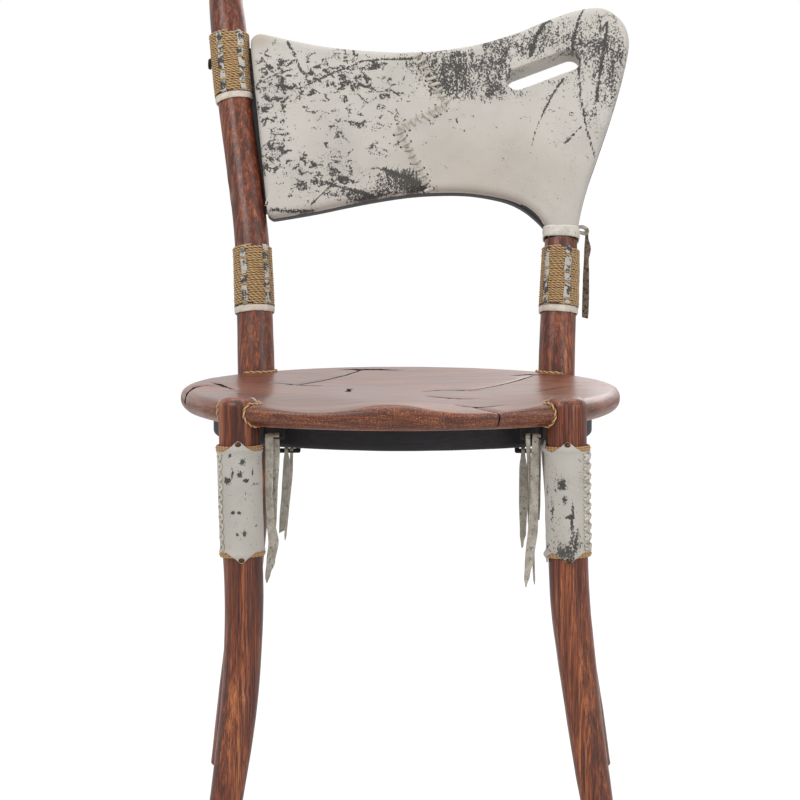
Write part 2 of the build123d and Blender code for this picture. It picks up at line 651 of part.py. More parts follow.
def build():
    """Every piece of the chair, by the name of its node."""
    legs = {"front_leg_left": FRONT_LEFT_LEG, "front_leg_right": FRONT_RIGHT_LEG}
    legs.update({"rear_post_left": LEFT_POST, "rear_post_right": RIGHT_POST})
    wood = {name: leg(rows) for name, rows in legs.items() if name.startswith("front")}
    wood["rear_post_left"] = domed_post(LEFT_POST)
    wood["rear_post_right"] = neck_post(RIGHT_POST)
    parts = {}

    for name, rows in legs.items():
        parts[f"seat_trim_{name.replace('_leg', '').replace('_post', '')}"] = seat_trim(rows)
    dowels = [leg_dowel(rows) for rows in legs.values()]
    screws = board_screws()
    cords = {
        "thong_cord_front_left": thong_cord(FRONT_PIVOT, -144.5, -127, SEAT_TOP - SEAT_THICKNESS),
        "thong_cord_rear_left": thong_cord(REAR_PIVOT, -134, -112, board_bottom()),
        "thong_cord_front_right": thong_cord(FRONT_PIVOT, 126, 144.8, SEAT_TOP - SEAT_THICKNESS),
        "thong_cord_rear_right": thong_cord(REAR_PIVOT, 121, 143, board_bottom()),
    }
    seat = plate()
    for cutter in [*seat_hollows(), *[notch(rows) for rows in legs.values()]]:
        seat -= cutter
    for fixing in [*dowels, *screws, cords["thong_cord_front_left"], cords["thong_cord_front_right"]]:
        seat -= fixing
    under = board()
    for fixing in [*screws, cords["thong_cord_rear_left"], cords["thong_cord_rear_right"]]:
        under -= fixing
    parts["seat"] = seat
    parts["seat_board"] = under
    parts["board_screws"] = screws
    parts["leg_dowels"] = dowels
    parts.update(cords)
    for (name, rows), dowel in zip(legs.items(), dowels):
        parts[f"seat_trim_{name.replace('_leg', '').replace('_post', '')}"] -= dowel

    core = panel_core(wood["rear_post_left"])
    hide_left, hide_right = hides()
    fixings = {"panel_bolt": panel_bolt(), "panel_peg": panel_peg(), "neck_peg": neck_peg()}
    for fixing in fixings.values():
        core -= fixing
    hide_right -= fixings["neck_peg"]
    parts.update(fixings)
    parts["back_panel"] = core
    parts["back_hide_left"] = hide_left
    parts["back_hide_right"] = hide_right
    parts["back_lacing"] = seam_stitches()
    parts["neck_collar"] = collar()
    parts["collar_knot"] = tie_knot() - parts["neck_collar"]

    bindings = {
        "upper": (LEFT_POST, UPPER_BINDING, "rear_post_left", -32),
        "lower_left": (LEFT_POST, LOWER_LEFT_BINDING, "rear_post_left", -27),
        "lower_right": (RIGHT_POST, LOWER_RIGHT_BINDING, "rear_post_right", -36),
    }
    for name, (rows, span, post, angle) in bindings.items():
        rope = rope_binding(rows, span, wood[post])
        strips = weave_strips(rows, span, angle)
        if name == "upper":
            rope -= parts["panel_bolt"]
        parts[f"rope_binding_{name}"] = rope
        parts[f"weave_strips_{name}"] = strips
        parts[f"leather_band_{name}"] = leather_band(rows, span, wood[post])

    for side_name, side, rows in (("left", -1, FRONT_LEFT_LEG), ("right", 1, FRONT_RIGHT_LEG)):
        name = f"front_leg_{side_name}"
        tacks = sleeve_tacks(rows)
        for tack in tacks:
            wood[name] -= tack
        parts[f"leg_sleeve_{side_name}"] = leg_sleeve(rows, tacks)
        parts[f"sleeve_cords_{side_name}"] = sleeve_rings(rows)
        parts[f"sleeve_lacing_{side_name}"] = sleeve_laces(rows, side)
        parts[f"sleeve_tacks_{side_name}"] = tacks

    for name, post in wood.items():
        for fixing in [*dowels, *fixings.values()]:
            post = post - fixing
        parts[name] = post

    parts["thong_left_long"] = thong(FRONT_PIVOT, -136.6, -136.8, 8.4, 272, side=-1)
    parts["thong_left_narrow"] = thong(FRONT_PIVOT, -131.9, -135.0, 5.0, 328, side=1)
    parts["thong_left_slant"] = thong(REAR_PIVOT, -124.5, -128.5, 8.0, 320, side=-1)
    parts["thong_left_thin"] = thong(REAR_PIVOT, -119.0, -126.5, 3.5, 310, side=1)
    parts["thong_right_long"] = thong(FRONT_PIVOT, 135.6, 128.5, 11.0, 268, side=-1)
    parts["thong_right_short"] = thong(FRONT_PIVOT, 140.2, 140.9, 4.6, 338, side=1, loop=3.4)
    parts["thong_right_thin"] = thong(FRONT_PIVOT, 130.8, 137.5, 3.0, 270, side=0)
    parts["thong_right_inner"] = thong(REAR_PIVOT, 127.5, 129.5, 10.5, 303, side=-1)
    parts["thong_right_second"] = thong(REAR_PIVOT, 133.5, 136.0, 6.0, 313, side=1)
    parts["tie_strip"] = thong(TIE_PIVOT, 207.0, 205.0, 8.8, 522, side=1, loop=8.0)
    return parts


def main():
    """Builds the chair, moves it to its origin and writes one STEP file per node."""
    os.makedirs("parts", exist_ok=True)
    parts = build()
    solids = {}
    for name, shape in parts.items():
        pieces = shape if isinstance(shape, list) else [shape]
        solids[name] = [solid for piece in pieces for solid in piece.solids()]
    box = Compound([solid for group in solids.values() for solid in group]).bounding_box()
    shift = Pos(-(box.min.X + box.max.X) / 2, -(box.min.Y + box.max.Y) / 2, -box.min.Z)
    print("origin shift", shift.position, "size", box.size)
    for name, group in solids.items():
        shape = group[0] if len(group) == 1 else Compound(group)
        moved = shift * shape
        moved.label = name
        export_step(moved, os.path.join("parts", f"{name}.step"))
    print("nodes", len(solids))


main()
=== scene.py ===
"""Looks of a carved chair: oiled poles, a dished plank seat, a hide-covered back and rope bindings.

Every piece is modelled in millimetres, in the maker's frame of the CAD source, and brought to
metres and to the shared origin when it is delivered.
"""

import json
import logging
import math
import random
from dataclasses import dataclass, field
from enum import Enum
from typing import Callable, Iterable, Sequence

import bmesh
import bpy
import numpy as np
from mathutils import Euler, Matrix, Vector, noise

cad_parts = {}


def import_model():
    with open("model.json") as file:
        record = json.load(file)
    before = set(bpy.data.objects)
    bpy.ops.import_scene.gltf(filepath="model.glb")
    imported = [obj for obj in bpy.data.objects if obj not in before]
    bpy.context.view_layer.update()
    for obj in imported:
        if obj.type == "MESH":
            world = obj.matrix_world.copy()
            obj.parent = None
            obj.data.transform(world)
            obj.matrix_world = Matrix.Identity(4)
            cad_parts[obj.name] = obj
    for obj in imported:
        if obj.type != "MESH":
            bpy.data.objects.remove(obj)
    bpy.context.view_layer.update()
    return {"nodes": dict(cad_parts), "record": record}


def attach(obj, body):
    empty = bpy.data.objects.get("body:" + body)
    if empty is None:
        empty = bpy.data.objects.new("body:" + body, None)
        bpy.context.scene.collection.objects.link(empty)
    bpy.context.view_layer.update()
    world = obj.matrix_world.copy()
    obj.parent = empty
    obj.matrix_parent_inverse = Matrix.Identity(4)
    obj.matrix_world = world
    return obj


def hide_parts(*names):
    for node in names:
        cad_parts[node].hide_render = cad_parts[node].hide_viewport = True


LOG = logging.getLogger("chair")
MM = 0.001  # metres in a millimetre
RADIAN = 57.3  # degrees in a radian
FULL_TURN = 6.283  # radians in a turn
ORIGIN_SHIFT = Vector((-6.09036, -43.25, 0.0))  # from the maker's frame to the shared one
BODY = "chair"
PANEL_LEAN = 18.0  # degrees that the back panel leans to the rear
PANEL_FOOT = (210.0, 612.0)  # y and z of the line that the back panel leans from

Point = tuple[float, float, float]
Colour = tuple[float, float, float, float]
Rows = tuple[tuple[float, ...], ...]
Piece = bpy.types.Object
Material = bpy.types.Material


class Side(Enum):
    """Side of the chair, as seen by somebody who stands in front of it."""

    LEFT = -1
    RIGHT = 1


def srgb(red: int, green: int, blue: int) -> Colour:
    """Linear colour of a display colour.

    Args:
        red: Red, from 0 to 255.
        green: Green, from 0 to 255.
        blue: Blue, from 0 to 255.

    Returns:
        The colour as a shader socket takes it.
    """
    linear = []
    for channel in (red, green, blue):
        share = channel / 255
        linear.append(share / 12.92 if share <= 0.04045 else ((share + 0.055) / 1.055) ** 2.4)
    return (*linear, 1.0)


def smooth(value: float, low: float, high: float) -> float:
    """Smooth step of a value between two limits."""
    share = min(1.0, max(0.0, (value - low) / (high - low)))
    return share * share * (3 - 2 * share)


# ---------------------------------------------------------------- shader recipes


Value = "Signal | float"


class Signal:
    """A shader socket that takes part in Python expressions."""

    def __init__(self, tree: "Tree", socket: bpy.types.NodeSocket) -> None:
        """Wraps a socket.

        Args:
            tree: The tree that holds the socket.
            socket: The output socket.
        """
        self.tree = tree
        self.socket = socket

    def _math(self, operation: str, first: Value, second: Value) -> "Signal":
        """Adds a Math node on two values."""
        return self.tree.node("ShaderNodeMath", {"operation": operation}, {0: first, 1: second})

    def __add__(self, other: Value) -> "Signal":
        """Sum of two values."""
        return self._math("ADD", self, other)

    __radd__ = __add__

    def __sub__(self, other: Value) -> "Signal":
        """Difference of two values."""
        return self._math("SUBTRACT", self, other)

    def __rsub__(self, other: float) -> "Signal":
        """Difference, with the number first."""
        return self._math("SUBTRACT", other, self)

    def __mul__(self, other: Value) -> "Signal":
        """Product of two values."""
        return self._math("MULTIPLY", self, other)

    __rmul__ = __mul__

    def __pow__(self, other: float) -> "Signal":
        """Power of a value."""
        return self._math("POWER", self, other)

    def highest(self, other: Value) -> "Signal":
        """Greater of two values."""
        return self._math("MAXIMUM", self, other)

    def step(self, low: float, high: float) -> "Signal":
        """Smooth step between two limits, which may run downwards.

        Args:
            low: Value where the step starts.
            high: Value where it ends.

        Returns:
            A signal from 0 to 1.
        """
        return self.tree.node(
            "ShaderNodeMapRange",
            {"interpolation_type": "SMOOTHSTEP"},
            {"Value": self, "From Min": low, "From Max": high},
        )


class Tree:
    """A node tree, written as expressions."""

    def __init__(self, tree: bpy.types.NodeTree) -> None:
        """Wraps a tree.

        Args:
            tree: The node tree of a material or of the surround.
        """
        self.tree = tree

    def node(self, kind: str, settings: dict | None = None, inputs: dict | None = None,
             output: int | str = 0) -> Signal:
        """Adds any node.

        Args:
            kind: Type of the node.
            settings: Values of its own settings; "stops" are a ramp's places and colours.
            inputs: Numbers, colours or signals, by socket name or index.
            output: Socket that is handed back.

        Returns:
            The signal of the chosen output.
        """
        made = self.tree.nodes.new(kind)
        for key, value in (settings or {}).items():
            if key == "stops":
                self._stops(made.color_ramp, value)
            else:
                setattr(made, key, value)
        for key, value in (inputs or {}).items():
            self.feed(made.inputs[key], value)
        return Signal(self, made.outputs[output])

    @staticmethod
    def _stops(ramp: bpy.types.ColorRamp, stops: Sequence[tuple[float, Colour]]) -> None:
        """Sets a ramp's stops.

        Args:
            ramp: The ramp.
            stops: Places and colours.
        """
        while len(ramp.elements) < len(stops):
            ramp.elements.new(1.0)
        for element, (place, colour) in zip(ramp.elements, stops):
            element.position = place
            element.color = colour

    def feed(self, socket: bpy.types.NodeSocket, value: object) -> None:
        """Links a signal to a socket, or sets the socket's value.

        Args:
            socket: The input socket.
            value: A signal, a number or a colour.
        """
        if isinstance(value, Signal):
            self.tree.links.new(value.socket, socket)
        else:
            socket.default_value = value


class Recipe(Tree):
    """One material's node tree."""

    def __init__(self, name: str) -> None:
        """Starts a material with a Principled shader.

        Args:
            name: Name of the material.
        """
        self.material = bpy.data.materials.new(name)
        self.material.use_nodes = True
        super().__init__(self.material.node_tree)
        self.tree.nodes.clear()
        self.shader = self.tree.nodes.new("ShaderNodeBsdfPrincipled")
        output = self.tree.nodes.new("ShaderNodeOutputMaterial")
        self.tree.links.new(self.shader.outputs[0], output.inputs[0])

    def finish(self, **sockets: object) -> Material:
        """Feeds the shader and hands the material back.

        Args:
            sockets: Values by socket name, with underscores for spaces.

        Returns:
            The material.
        """
        for name, value in sockets.items():
            self.feed(self.shader.inputs[name.replace("_", " ")], value)
        return self.material

    def grain(self, stretch: Point, scale: float, detail: float = 4, rough: float = 0.55,
              distort: float = 0.0, turn: Point = (0, 0, 0), shift: Point = (0, 0, 0)) -> Signal:
        """Fractal noise from 0 to 1 over the object's own coordinates.

        Args:
            stretch: Factor on each axis; the noise is finer along an axis with a greater one.
            scale: Features in a metre at a factor of 1.
            detail: Layers of finer noise.
            rough: Share of the finer layers.
            distort: How far the features flow.
            turn: Turn about each axis, in radians.
            shift: Shift along each axis.

        Returns:
            The noise.
        """
        point = self.node("ShaderNodeTexCoord", output="Object")
        point = self.node(
            "ShaderNodeMapping", None,
            {"Vector": point, "Scale": stretch, "Rotation": turn, "Location": shift},
        )
        return self.node(
            "ShaderNodeTexNoise", {"noise_dimensions": "3D"},
            {"Vector": point, "Scale": scale, "Detail": detail, "Roughness": rough, "Distortion": distort},
        )

    def ramp(self, value: Signal, *stops: tuple[float, Colour]) -> Signal:
        """Colour ramp of a value."""
        return self.node("ShaderNodeValToRGB", {"stops": stops}, {0: value})

    def blend(self, share: Signal | float, first: object, second: object) -> Signal:
        """Mix of two colours.

        Args:
            share: Share of the second colour.
            first: First colour.
            second: Second colour.

        Returns:
            The mixed colour.
        """
        return self.node(
            "ShaderNodeMix", {"data_type": "RGBA", "blend_type": "MIX"},
            {0: share, 6: first, 7: second}, 2,
        )

    def bump(self, height: Signal, distance: float, strength: float = 1.0) -> Signal:
        """Bump of a height, in metres at full height.

        Args:
            height: Height of the surface.
            distance: Height of a full step.
            strength: Share of it that shows.

        Returns:
            The bent normal.
        """
        inputs = {"Height": height, "Distance": distance, "Strength": strength}
        return self.node("ShaderNodeBump", None, inputs)

    def painted(self, name: str) -> Signal:
        """A value stored on the mesh."""
        return self.node("ShaderNodeAttribute", {"attribute_name": name}, None, "Fac")


class Finish:
    """A surface finish; a finish's material is made once and shared."""

    _made: dict["Finish", Material] = {}

    def material(self) -> Material:
        """The material of this finish.

        Returns:
            The material, made at the first call.
        """
        if self not in Finish._made:
            Finish._made[self] = self.mix(Recipe(f"{type(self).__name__}_{len(Finish._made)}"))
        return Finish._made[self]

    def mix(self, r: Recipe) -> Material:
        """Writes the recipe.

        Args:
            r: An empty recipe.

        Returns:
            The finished material.
        """
        raise NotImplementedError


@dataclass(frozen=True)
class OiledPole(Finish):
    """Oiled hardwood with its grain up the pole."""

    shift: float = 0.0
    rough: float = 0.34

    def mix(self, r: Recipe) -> Material:
        """Long streaks, fine pores and broad drifts of colour.

        Args:
            r: An empty recipe.

        Returns:
            The finished material.
        """
        broad = r.grain((26, 26, 1.6), 1.5, 4, 0.6, 0.8, shift=(self.shift, 0, 0))
        streak = r.grain((230, 230, 4.2), 1.0, 4, 0.6, 0.6, shift=(self.shift, 3, 0))
        fine = r.grain((700, 700, 17), 1.0, 3, 0.65, 0.5, shift=(0, self.shift, 0))
        pores = r.grain((1300, 1300, 60), 1.0, 2, 0.6).step(0.58, 0.68)
        tone = (streak * 0.46 + broad * 0.34 + fine * 0.20 - 0.5) * 2.1 + 0.5
        colour = r.ramp(
            tone, (0.24, srgb(52, 22, 14)), (0.42, srgb(90, 42, 26)), (0.58, srgb(136, 70, 41)),
            (0.80, srgb(190, 116, 68)),
        )
        colour = r.blend(fine.step(0.56, 0.40) * 0.6, colour, srgb(60, 27, 19))
        colour = r.blend(pores * 0.75, colour, srgb(34, 17, 14))
        height = fine * 0.5 + streak * 0.5 - pores * 0.5
        return r.finish(
            Base_Color=colour, Roughness=fine * 0.16 + (self.rough + 0.04), Specular_IOR_Level=0.3,
            Coat_Weight=0.34, Coat_Roughness=0.20, Normal=r.bump(height, 0.00030, 0.5),
        )


@dataclass(frozen=True)
class OiledPlank(Finish):
    """Oiled plank with its grain across the seat and end grain on its round edge."""

    def mix(self, r: Recipe) -> Material:
        """Flowing figure on the flat, speckle where the mesh says it is edge.

        Args:
            r: An empty recipe.

        Returns:
            The finished material.
        """
        edge = r.painted("edge")
        drift = r.grain((3.4, 9.0, 9.0), 1.0, 3, 0.5, 1.2)
        figure = r.grain((5.5, 46, 46), 1.0, 5, 0.6, 2.2, shift=(0, 2, 0))
        fine = r.grain((40, 560, 560), 1.0, 3, 0.6, 0.6)
        tone = (figure * 0.6 + drift * 0.4 - 0.5) * 1.6 + 0.5
        top = r.ramp(
            tone, (0.26, srgb(68, 33, 21)), (0.44, srgb(102, 55, 36)), (0.58, srgb(128, 74, 49)),
            (0.76, srgb(160, 100, 66)),
        )
        top = r.blend(fine.step(0.58, 0.38) * 0.5, top, srgb(66, 36, 29))
        top = r.blend((r.painted("lips") * (figure + 0.35)).step(0.25, 0.80) * 0.75, top, srgb(44, 25, 21))
        grain = r.grain((900, 900, 900), 1.0, 2, 0.7)
        layers = r.grain((14, 14, 130), 1.0, 4, 0.6, 1.5)
        end = r.ramp(
            grain * 0.66 + layers * 0.34, (0.36, srgb(46, 22, 15)), (0.47, srgb(84, 42, 27)),
            (0.54, srgb(122, 65, 39)), (0.63, srgb(182, 114, 69)),
        )
        colour = r.blend(edge, top, end)
        height = fine * (1 - edge) * 0.5 + grain * edge * 0.8 + figure * 0.4
        return r.finish(
            Base_Color=colour, Roughness=drift * 0.16 + 0.27, Specular_IOR_Level=0.42,
            Coat_Weight=0.12, Coat_Roughness=0.14, Normal=r.bump(height, 0.0003, 0.5),
        )


@dataclass(frozen=True)
class CrackShade(Finish):
    """Dark, dry wood inside a crack or a carved mark; also the painted shade of the dark discs that stand
    for the lacing holes.
    """

    def mix(self, r: Recipe) -> Material:
        """Near-black brown with a little grain.

        Args:
            r: An empty recipe.

        Returns:
            The finished material.
        """
        grain = r.grain((60, 400, 400), 1.0, 3)
        colour = r.ramp(grain, (0.3, srgb(40, 23, 19)), (0.7, srgb(74, 45, 37)))
        return r.finish(Base_Color=colour, Roughness=0.85, Normal=r.bump(grain, 0.0004, 0.6))


@dataclass(frozen=True)
class BlackStain(Finish):
    """Black-stained wood with a soft satin."""

    def mix(self, r: Recipe) -> Material:
        """Close grain under an even black.

        Args:
            r: An empty recipe.

        Returns:
            The finished material.
        """
        grain = r.grain((34, 420, 420), 1.0, 4, 0.6, 0.4)
        wear = r.grain((14, 14, 14), 1.0, 4)
        colour = r.ramp(
            grain * 0.5 + wear * 0.5, (0.35, srgb(32, 31, 34)), (0.55, srgb(43, 41, 44)),
            (0.75, srgb(58, 55, 59)),
        )
        return r.finish(
            Base_Color=colour, Roughness=wear * 0.2 + 0.42, Specular_IOR_Level=0.25,
            Normal=r.bump(grain, 0.0003, 0.5),
        )


@dataclass(frozen=True)
class Hide(Finish):
    """Pale short-haired hide with ragged black marks, thickest where the mesh says so."""

    lean: float = 0.0
    base: Colour = srgb(200, 195, 187)

    def mix(self, r: Recipe) -> Material:
        """Ground colour, speckle, flecks and pores.

        Args:
            r: An empty recipe.

        Returns:
            The finished material.
        """
        turn = (math.radians(self.lean), 0, 0)
        amount = r.painted("marks")
        flecks = r.painted("flecks")
        speck = r.grain((1.15, 1.15, 0.85), 430, 4, 0.68, 0.3, turn=turn)
        slanted = (turn[0], math.radians(24), 0)
        fleck = r.grain((1.0, 1.0, 1.35), 88, 5, 0.60, 0.7, turn=slanted, shift=(3, 0, 1))
        patch = r.grain((1.0, 1.0, 1.0), 30, 4, 0.6, 0.5, turn=turn, shift=(0, 5, 2))
        dust = r.grain((1, 1, 1), 1150, 2, 0.6, turn=turn, shift=(7, 1, 3))
        rows = r.grain((1, 1, 0.16), 150, 4, 0.65, 0.4, turn=turn, shift=(6, 2, 2))
        blotch = speck * 0.54 + rows * 0.25 + patch * 0.21
        dense = (blotch + (amount ** 0.6) * 0.192).step(0.618, 0.650)
        ragged = (fleck * 0.66 + speck * 0.34 + flecks * 0.125).step(0.632, 0.652)
        sparse = (dust * 0.7 + patch * 0.3 + flecks * 0.02 + amount * 0.03).step(0.638, 0.658)
        mask = dense.highest(ragged)
        cloud = r.grain((1, 1, 1), 16, 4, 0.6, turn=turn, shift=(2, 8, 5))
        ground = r.ramp(
            cloud, (0.30, tuple(c * 0.88 for c in self.base[:3]) + (1.0,)), (0.55, self.base),
            (0.75, tuple(min(1.0, c * 1.05) for c in self.base[:3]) + (1.0,)),
        )
        # painted shade: where the mesh asks for it, the ground turns a darker warm tan over the lower middle
        # of the back hides, and at their top-left corner
        ground = r.blend(r.painted("shade_and_dark_corner") * 0.55, ground, srgb(172, 156, 138))
        hair = r.grain((900, 900, 220), 1.0, 2, 0.6, turn=turn)
        ink = r.ramp(dust * 0.6 + speck * 0.4, (0.38, srgb(34, 33, 32)), (0.62, srgb(94, 91, 87)))
        colour = r.blend(mask.highest(sparse * 0.8), ground, ink)
        creases = r.grain((1, 1, 1.6), 60, 6, 0.66, 0.8, turn=turn, shift=(1, 1, 1))
        height = hair * 0.3 + creases * 0.9 + speck * 0.25
        return r.finish(
            Base_Color=colour, Roughness=0.72 - mask * 0.08, Specular_IOR_Level=0.28,
            Sheen_Weight=0.08, Sheen_Roughness=0.4, Normal=r.bump(height, 0.0006, 0.42),
        )


@dataclass(frozen=True)
class PlainLeather(Finish):
    """Undyed leather of a band, lace or thong, with a suede nap."""

    dark: Colour = srgb(184, 172, 156)
    light: Colour = srgb(230, 220, 206)
    specks: float = 0.0
    speck_colour: Colour = srgb(60, 54, 48)

    def mix(self, r: Recipe) -> Material:
        """Cloudy ground, nap and a few specks.

        Args:
            r: An empty recipe.

        Returns:
            The finished material.
        """
        cloud = r.grain((1, 1, 1), 90, 5, 0.62, 0.4)
        nap = r.grain((1, 1, 0.5), 1100, 3, 0.65)
        colour = r.ramp(cloud * 0.6 + nap * 0.4, (0.34, self.dark), (0.62, self.light))
        if self.specks:
            drops = r.grain((1, 1, 0.55), 420, 3, 0.6, shift=(4, 4, 4))
            colour = r.blend((drops + self.specks * 0.12).step(0.66, 0.71) * 0.85, colour, self.speck_colour)
        return r.finish(
            Base_Color=colour, Roughness=0.85, Specular_IOR_Level=0.22, Sheen_Weight=0.15,
            Sheen_Roughness=0.5, Normal=r.bump(nap * 0.5 + cloud, 0.0005, 0.45),
        )


@dataclass(frozen=True)
class TwistedFibre(Finish):
    """Twisted plant fibre, coloured with painted shade deep between the strands and a painted highlight on
    their crests; the mesh says how deep between the strands a point lies.
    """

    # dark is the painted shade between the strands, light the painted highlight on their crests
    dark: Colour = srgb(92, 64, 40)
    mid: Colour = srgb(186, 150, 104)
    light: Colour = srgb(224, 196, 150)

    def mix(self, r: Recipe) -> Material:
        """Strand colour by depth, as painted shade in the grooves and a painted highlight on the crests,
        with fibres along the strand.

        Args:
            r: An empty recipe.

        Returns:
            The finished material.
        """
        depth = r.painted("depth")
        fibre = r.grain((1, 1, 1), 1500, 3, 0.7, 0.3)
        drift = r.grain((1, 1, 1), 130, 4, 0.6)
        # painted shade and highlight: low depth gives the dark groove colour, high depth the light crest
        # colour
        tone = depth * 0.55 + fibre * 0.25 + drift * 0.20
        colour = r.ramp(tone, (0.22, self.dark), (0.50, self.mid), (0.78, self.light))
        return r.finish(
            Base_Color=colour, Roughness=0.88, Specular_IOR_Level=0.2, Sheen_Weight=0.2,
            Sheen_Roughness=0.5, Normal=r.bump(fibre, 0.0004, 0.6),
        )


@dataclass(frozen=True)
class AgedMetal(Finish):
    """Metal of a tack, cap or screw, darkened with age."""

    dark: Colour = srgb(44, 32, 24)
    light: Colour = srgb(118, 88, 58)
    rough: float = 0.42

    def mix(self, r: Recipe) -> Material:
        """Patina in blotches over the bare metal.

        Args:
            r: An empty recipe.

        Returns:
            The finished material.
        """
        patina = r.grain((1, 1, 1), 700, 4, 0.65)
        pits = r.grain((1, 1, 1), 2400, 2, 0.6)
        colour = r.ramp(patina, (0.38, self.dark), (0.68, self.light))
        return r.finish(
            Base_Color=colour, Metallic=0.85, Roughness=patina * 0.25 + self.rough - 0.1,
            Normal=r.bump(pits, 0.0002, 0.5),
        )


@dataclass(frozen=True)
class RawWood(Finish):
    """Raw pale wood of a dowel or peg."""

    def mix(self, r: Recipe) -> Material:
        """Straight pale grain.

        Args:
            r: An empty recipe.

        Returns:
            The finished material.
        """
        grain = r.grain((60, 300, 300), 1.0, 4, 0.6)
        colour = r.ramp(grain, (0.3, srgb(168, 134, 94)), (0.7, srgb(206, 174, 130)))
        return r.finish(Base_Color=colour, Roughness=0.7, Normal=r.bump(grain, 0.0003, 0.5))


# ---------------------------------------------------------------- modelling bench


HAIR = (0.061, 0.043, 0.0)  # shift of a cutter before its cut is tried again


class Bench:
    """Modelling tools: short runs of operators on one piece at a time."""

    @staticmethod
    def take(*pieces: Piece) -> None:
        """Selects only the given pieces and makes the first the active one.

        Args:
            pieces: The pieces, the active one first.
        """
        if bpy.context.object is not None and bpy.context.object.mode != "OBJECT":
            bpy.ops.object.mode_set(mode="OBJECT")
        bpy.ops.object.select_all(action="DESELECT")
        for piece in pieces:
            piece.select_set(True)
        if pieces:
            bpy.context.view_layer.objects.active = pieces[0]

    @staticmethod
    def primitive(kind: str, **settings: object) -> Piece:
        """Adds a mesh primitive by name, with its place, turn and scale worked into the mesh.

        Args:
            kind: Kind of the primitive.
            settings: Settings of its operator.

        Returns:
            The piece.
        """
        Bench.take()
        getattr(bpy.ops.mesh, f"primitive_{kind}_add")(**settings)
        bpy.ops.object.transform_apply(location=True, rotation=True, scale=True)
        return bpy.context.object

    @staticmethod
    def modify(piece: Piece, kind: str, **settings: object) -> None:
        """Adds a modifier and applies it.

        Args:
            piece: The piece.
            kind: Kind of the modifier.
            settings: Its settings.
        """
        Bench.take(piece)
        modifier = piece.modifiers.new(kind.title(), kind)
        for key, value in settings.items():
            setattr(modifier, key, value)
        bpy.ops.object.modifier_apply(modifier=modifier.name)

    @staticmethod
    def edit(piece: Piece, rule: Callable[..., bool] | None = None, kind: str = "FACE") -> None:
        """Opens a piece in edit mode with all of it, or the elements that a rule picks, selected.

        Args:
            piece: The piece.
            rule: Whether a face or edge is selected.
            kind: What the rule picks, "FACE" or "EDGE".
        """
        Bench.take(piece)
        bpy.ops.object.mode_set(mode="EDIT")
        bpy.ops.mesh.select_mode(type=kind)
        bpy.ops.mesh.select_all(action="SELECT" if rule is None else "DESELECT")
        if rule is not None:
            work = bmesh.from_edit_mesh(piece.data)
            for element in work.faces if kind == "FACE" else work.edges:
                element.select_set(bool(rule(element)))
            if kind == "FACE":
                work.select_flush(True)
            bmesh.update_edit_mesh(piece.data)

    @staticmethod
    def close() -> None:
        """Leaves edit mode."""
        bpy.ops.object.mode_set(mode="OBJECT")

    @staticmethod
    def heal(piece: Piece, gap: float = 0.001) -> None:
        """Merges doubles and turns the faces outwards.

        Args:
            piece: The piece.
            gap: Greatest distance of two doubles.
        """
        Bench.edit(piece)
        bpy.ops.mesh.remove_doubles(threshold=gap)
        bpy.ops.mesh.normals_make_consistent(inside=False)
        Bench.close()

    @staticmethod
    def _read(piece: Piece, value: str) -> np.ndarray:
        """One vector value of every vertex.

        Args:
            piece: The piece.
            value: Name of the value.

        Returns:
            One row for each vertex.
        """
        flat = np.zeros(len(piece.data.vertices) * 3)
        piece.data.vertices.foreach_get(value, flat)
        return flat.reshape(-1, 3)

    @staticmethod
    def points(piece: Piece) -> np.ndarray:
        """Vertex positions as an array."""
        return Bench._read(piece, "co")

    @staticmethod
    def normals(piece: Piece) -> np.ndarray:
        """Vertex normals as an array."""
        return Bench._read(piece, "normal")

    @staticmethod
    def move(piece: Piece, points: np.ndarray) -> None:
        """Writes vertex positions back."""
        piece.data.vertices.foreach_set("co", np.asarray(points, float).ravel())
        piece.data.update()

    @staticmethod
    def paint(piece: Piece, name: str, values: Iterable[float]) -> None:
        """Stores one value per vertex for the materials to read."""
        layer = piece.data.attributes.get(name) or piece.data.attributes.new(name, "FLOAT", "POINT")
        layer.data.foreach_set("value", np.asarray(list(values), np.float32))

    @staticmethod
    def dress(piece: Piece, finishes: Sequence[Finish], index: int = 0) -> Piece:
        """Gives a raw piece its finishes and all its faces one of them.

        Args:
            piece: The piece.
            finishes: Its finishes, in the order of the material indices.
            index: Index of the finish that its faces get.

        Returns:
            The piece.
        """
        for finish in finishes:
            piece.data.materials.append(finish.material())
        for face in piece.data.polygons:
            face.material_index = index
        return piece

    @staticmethod
    def tube(name: str, path: Sequence[Point], radii: Sequence[float] | float, sides: int,
             closed: bool = False) -> Piece:
        """Round tube along a path, with a radius at each point.

        Args:
            name: Name of the piece.
            path: Points of the centre line.
            radii: One radius, or one for each point.
            sides: Corners of the section, an even number from 4.
            closed: Whether the path runs into itself.

        Returns:
            The tube as a mesh, with one ring of vertices for each point, in order.
        """
        curve = bpy.data.curves.new(name, "CURVE")
        curve.dimensions = "3D"
        curve.bevel_depth = 1.0
        curve.bevel_resolution = (sides - 4) // 2
        spline = curve.splines.new("POLY")
        spline.points.add(len(path) - 1)
        for index, point in enumerate(path):
            spline.points[index].co = (*point, 1.0)
            spline.points[index].radius = radii if isinstance(radii, (int, float)) else radii[index]
        spline.use_cyclic_u = closed
        piece = bpy.data.objects.new(name, curve)
        bpy.context.scene.collection.objects.link(piece)
        Bench.take(piece)
        bpy.ops.object.convert(target="MESH")
        piece = bpy.context.object
        Bench.edit(piece)
        if not closed:
            bpy.ops.mesh.fill_holes(sides=0)
        bpy.ops.mesh.normals_make_consistent(inside=False)
        Bench.close()
        return piece

